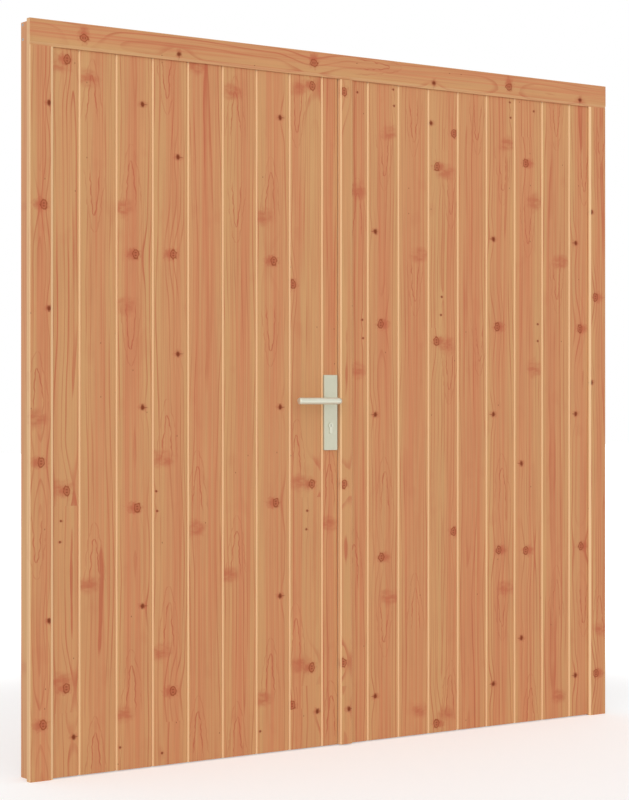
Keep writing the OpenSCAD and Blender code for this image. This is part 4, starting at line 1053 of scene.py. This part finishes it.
@dataclass
class Screws:
    """Countersunk screws with a cross recess, as a node tree that puts one on each point of a mesh."""

    head_r: float = 0.004
    head_h: float = 0.0025
    shank_r: float = 0.002
    tip_l: float = 0.006
    recess_l: float = 0.0044
    recess_w: float = 0.0010
    recess_d: float = 0.0015
    sides: int = 16
    shank_sides: int = 8
    seed: int = 7
    merge: float = 0.000001
    tree: NodeTree | None = None

    def build(self) -> NodeTree:
        """Builds the tree that turns points with a way and a reach into screws.

        Returns:
            The tree, which is kept for the next node of screws too.
        """
        g, source, sink = new_group(
            "countersunk_screws",
            {"Geometry": "Geometry", "Head radius": "Float", "Head height": "Float", "Shank radius": "Float",
             "Tip length": "Float", "Steel": "Material", "Seed": "Int"},
            {"Geometry": "Geometry"}, "GeometryNodeTree",
        )
        points, head_r, head_h, shank_r, tip_l, steel, seed = source.outputs[:7]
        way, reach = [g.add("GeometryNodeInputNamedAttribute", {"Name": name}, data_type=kind).outputs[0]
                      for name, kind in (("way", "FLOAT_VECTOR"), ("reach", "FLOAT"))]
        luck = g.add("FunctionNodeRandomValue", {"Seed": seed}, data_type="FLOAT_VECTOR")
        spin = g.combine(0.0, 0.0, g.times(g.split(luck.outputs[0])[2], math.pi))
        along = g.add("FunctionNodeAlignRotationToVector", {"Vector": way}, axis="Z").outputs[0]
        turn = g.add("FunctionNodeRotateRotation", {0: along, 1: spin}, rotation_space="LOCAL").outputs[0]

        cone = self.cone(g, self.sides, head_r, shank_r, head_h)
        sunk = {"Geometry": cone, "Translation": g.combine(0.0, 0.0, g.times(head_h, -1.0))}
        head = g.add("GeometryNodeTransform", sunk).outputs[0]
        recess = g.add("GeometryNodeMeshBoolean", {0: head}, operation="DIFFERENCE")
        for size in ((self.recess_l, self.recess_w), (self.recess_w, self.recess_l)):
            slot = g.add("GeometryNodeMeshCube", {"Size": (*size, 2 * self.recess_d)}).outputs[0]
            g.feed(recess.inputs[1], slot)
        length = g.total(reach, g.times(head_h, -1.0), g.times(tip_l, -1.0))
        start = g.times(g.total(reach, g.times(tip_l, -1.0)), -1.0)
        one = g.combine(1.0, 1.0, 1.0)
        parts = (
            (recess.outputs[0], one, 0.0),
            (self.cone(g, self.shank_sides, shank_r, shank_r, 1.0), g.combine(1.0, 1.0, length), start),
            (self.cone(g, self.shank_sides, shank_r, 0.0, tip_l), one, g.times(reach, -1.0)),
        )
        joined = g.add("GeometryNodeJoinGeometry")
        for mesh, size, place in parts:
            stood = g.add("GeometryNodeInstanceOnPoints",
                          {"Points": points, "Instance": mesh, "Rotation": turn, "Scale": size}).outputs[0]
            moved = g.add("GeometryNodeTranslateInstances",
                          {"Instances": stood, "Translation": self.down(g, place, size), "Local Space": True})
            g.feed(joined.inputs[0], moved.outputs[0])
        real = g.add("GeometryNodeRealizeInstances", {0: joined.outputs[0]}).outputs[0]
        plated = g.add("GeometryNodeSetMaterial", {"Geometry": real, "Material": steel})
        g.feed(sink.inputs[0], plated.outputs[0])
        self.tree = g.tree
        return g.tree

    def cone(self, g: Graph, sides: int, top: object, bottom: object, height: object) -> NodeSocket:
        """Returns a cone, or a cylinder where its two radii are the same."""
        sizes = {"Vertices": sides, "Radius Top": top, "Radius Bottom": bottom, "Depth": height}
        return g.add("GeometryNodeMeshCone", sizes).outputs[0]

    def down(self, g: Graph, place: object, size: object) -> NodeSocket:
        """Returns the shift of a part down the screw, in its own space, which its length stretches."""
        return g.combine(0.0, 0.0, g.math("DIVIDE", place, g.split(size)[2]))

    def measure(self, island: list[bmesh.types.BMVert]) -> tuple[Vector, Vector, float]:
        """Reads one screw of the model.

        Args:
            island: Its points.

        Returns:
            The middle of its head, its way out of the wood and its length.
        """
        low = Vector([min(vert.co[side] for vert in island) for side in range(3)])
        high = Vector([max(vert.co[side] for vert in island) for side in range(3)])
        size = high - low
        axis = max(range(3), key=lambda side: size[side])
        ends = []
        for level in (low[axis], high[axis]):
            spot = (low + high) / 2
            spot[axis] = level
            rim = [(vert.co - spot).length for vert in island if abs(vert.co[axis] - level) < 10 * self.merge]
            ends.append((max(rim), spot))
        tip, head = [spot for _, spot in sorted(ends, key=lambda end: end[0])]
        return head, (head - tip).normalized(), size[axis]

    def places(self, node: Object) -> list[tuple[Vector, Vector, float]]:
        """Reads where the screws of a node are, off a merged copy of its mesh.

        Args:
            node: The node with the plain screws.

        Returns:
            The middle of each head, its way out of the wood and its length.
        """
        shell = bmesh.new()
        shell.from_mesh(node.data)
        bmesh.ops.remove_doubles(shell, verts=shell.verts, dist=self.merge)
        left = set(shell.verts)
        found = []
        for vert in list(shell.verts):
            if vert not in left:
                continue
            left.discard(vert)
            island = [vert]
            for member in island:
                near = [edge.other_vert(member) for edge in member.link_edges]
                fresh = [other for other in near if other in left]
                left.difference_update(fresh)
                island.extend(dict.fromkeys(fresh))
            found.append(self.measure(island))
        shell.free()
        return found

    def place(self, node: Object, body: str, steel: Material) -> Object:
        """Puts the screws of one node in, in its stead.

        Args:
            node: The node with the plain screws.
            body: Body that it rides on.
            steel: Finish of the screws.

        Returns:
            The screws as one plain mesh.
        """
        found = self.places(node)
        mesh = bpy.data.meshes.new(f"{node.name}_places")
        mesh.from_pydata([head for head, _, _ in found], [], [])
        ways = mesh.attributes.new("way", "FLOAT_VECTOR", "POINT")
        ways.data.foreach_set("vector", [part for _, way, _ in found for part in way])
        reaches = mesh.attributes.new("reach", "FLOAT", "POINT")
        reaches.data.foreach_set("value", [reach for _, _, reach in found])
        maker = put(f"{node.name}_cross_head", mesh)
        modifier = maker.modifiers.new("screws", "NODES")
        modifier.node_group = self.tree or self.build()
        sizes = {"Head radius": self.head_r, "Head height": self.head_h, "Shank radius": self.shank_r,
                 "Tip length": self.tip_l, "Steel": steel, "Seed": self.seed}
        for item in modifier.node_group.interface.items_tree:
            if item.item_type == "SOCKET" and item.in_out == "INPUT" and item.name in sizes:
                modifier[item.identifier] = sizes[item.name]
        graph = bpy.context.evaluated_depsgraph_get()
        plain = bpy.data.meshes.new_from_object(maker.evaluated_get(graph), depsgraph=graph)
        maker.modifiers.remove(modifier)
        maker.data = plain
        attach(maker, body)
        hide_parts(node.name)
        LOG.info("%d screws for %s, %d faces", len(found), node.name, len(plain.polygons))
        return maker


@dataclass
class Hardware:
    """Every metal node of the gate."""

    nodes: dict[str, Object]
    lines: NodeTree

    def finishes(self) -> dict[str, Material]:
        """Makes the metals.

        Returns:
            The materials by their finish's name.
        """
        tints = {
            "satin_alloy": (srgb(200, 199, 177), srgb(206, 205, 184), 0.36, 0.45),
            # The lever's finish is the plate's satin alloy painted lighter: painted light on the lever.
            "lever_alloy_painted_lighter": (srgb(220, 219, 200), srgb(228, 227, 210), 0.36, 0.45),
            "nickel": (srgb(212, 211, 192), srgb(200, 200, 180), 0.3, 0.6),
            "zinc": (srgb(178, 181, 184), srgb(150, 155, 160), 0.42, 1.0),
            "plain_steel": (srgb(184, 184, 182), srgb(160, 160, 158), 0.32, 1.0),
        }
        return {name: Metal(self.lines, name, tint, wear, rough, metallic).material()
                for name, (tint, wear, rough, metallic) in tints.items()}

    def finish_of(self, name: str) -> str:
        """Picks the finish of a metal node.

        Args:
            name: Name of the node.

        Returns:
            The finish's name.
        """
        if "lever" in name:
            return "lever_alloy_painted_lighter"
        if "handle" in name:
            return "satin_alloy"
        if name in ("lock_cylinder", "key_plug"):
            return "nickel"
        zinc = ("hinge", "slide_bolt", "head_keep")
        return "zinc" if any(word in name for word in zinc) else "plain_steel"

    def dress(self, timber: list[str]) -> None:
        """Gives each metal node its finish.

        Args:
            timber: Names of the nodes that are of wood.
        """
        finishes = self.finishes()
        for name, piece in self.nodes.items():
            if name not in timber:
                piece.data.materials.clear()
                piece.data.materials.append(finishes[self.finish_of(name)])
                LOG.info("metal %s, %s", name, self.finish_of(name))
        Lever("outer_round_lever", "outer_lever", -1.0).build(finishes["lever_alloy_painted_lighter"])
        Lever("inner_round_lever", "inner_lever", 1.0).build(finishes["lever_alloy_painted_lighter"])
        screws = Screws()
        for name, body in (("frame_screws", "frame"), ("active_screws", "active_leaf"),
                           ("passive_screws", "passive_leaf")):
            screws.place(self.nodes[name], body, finishes["plain_steel"])


@dataclass
class Studio:
    """Camera, lamps, floor and background."""

    place: Vector = Vector((-3.600, -4.951, 1.025))
    forward: Vector = Vector((0.5779, 0.8161, 0.0))
    lens: float = 92.25
    floor_size: float = 60.0
    ambient: float = 0.6
    key_power: float = 1.5
    key_angle: float = 70.0
    key_way: Vector = Vector((0.62, 0.76, -0.10))
    white: Colour = (1.0, 1.0, 1.0, 1.0)
    floor_tint: Colour = (0.88, 0.88, 0.88, 1.0)
    floor_roughness: float = 0.9
    floor_specular: float = 0.1
    floor_glow: float = 0.35
    clear_from: float = 1.4
    clear_to: float = 3.4
    clip_end: float = 200.0

    def camera(self) -> None:
        """Places the camera where the photograph was taken from."""
        data = bpy.data.cameras.new("camera")
        data.lens = self.lens
        data.clip_end = self.clip_end
        camera = put("camera", data)
        camera.location = self.place
        camera.rotation_euler = self.forward.to_track_quat("-Z", "Y").to_euler()
        bpy.context.scene.camera = camera

    def seen(self, g: Graph) -> NodeSocket:
        """Asks what kind of ray meets the floor or the background.

        Args:
            g: Graph to build in.

        Returns:
            1 for a ray from the camera, a mirror-like surface or glass, and 0 for others.
        """
        path = g.add("ShaderNodeLightPath").outputs
        rays = [path["Is Camera Ray"], path["Is Glossy Ray"], path["Is Transmission Ray"]]
        return g.math("MAXIMUM", g.math("MAXIMUM", rays[0], rays[1]), rays[2])

    def world(self) -> None:
        """Makes the white background and the even light round the gate."""
        world = bpy.data.worlds.new("studio")
        world.use_nodes = True
        bpy.context.scene.world = world
        g = Graph(world.node_tree)
        strength = g.math("MAXIMUM", self.seen(g), self.ambient)
        g.wire(g.tree.nodes["Background"], {"Color": self.white, "Strength": strength})

    def sun(self) -> None:
        """Adds the soft key light from the left."""
        data = bpy.data.lights.new("key", "SUN")
        data.energy = self.key_power
        data.angle = math.radians(self.key_angle)
        put("key", data).rotation_euler = self.key_way.to_track_quat("-Z", "Y").to_euler()

    def floor(self) -> None:
        """Lays the plain pale floor, which keeps the gate's shadow."""
        half = self.floor_size / 2
        mesh = bpy.data.meshes.new("floor")
        rim = [(-half, -half, 0), (half, -half, 0), (half, half, 0), (-half, half, 0)]
        mesh.from_pydata(rim, [], [(0, 1, 2, 3)])
        material, g, shader = new_material("pale_floor")
        where = g.add("ShaderNodeTexCoord").outputs["Object"]
        away = g.add("ShaderNodeVectorMath", {0: where}, operation="LENGTH").outputs["Value"]
        glow = g.step(away, self.clear_from, self.clear_to, self.floor_glow, 1.0)
        g.wire(shader, {
            "Base Color": self.floor_tint, "Roughness": self.floor_roughness,
            "Specular IOR Level": self.floor_specular, "Emission Color": self.white,
            "Emission Strength": g.times(glow, self.seen(g)),
        })
        mesh.materials.append(material)
        put("floor", mesh)

    def build(self) -> None:
        """Sets the whole studio up."""
        self.camera()
        self.world()
        self.sun()
        self.floor()
        bpy.context.scene.view_settings.view_transform = "Standard"


def main() -> None:
    """Builds the gate's looks in order."""
    logging.basicConfig(level=logging.INFO, format="%(name)s: %(message)s")
    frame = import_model()
    Studio().build()
    mark = KnotMark().build()
    pattern = TimberPattern(mark).build()
    boards = Timber(pattern, mark, GrainArch().build(), PaintedEdgeHighlight().build())
    # The framing gets a faint painted highlight on its square sides; the trim gets it on bevel faces turned
    # either way, and stronger on its sides.
    framing = replace(boards, knots=0.35, sides=0.18)
    woodwork = Woodwork(frame["nodes"], boards, replace(boards, right_bevel_highlight=1.0, sides=0.5), framing)
    woodwork.dress()
    Hardware(frame["nodes"], BrushedPattern().build()).dress(woodwork.names())


if __name__ == "__main__":
    main()
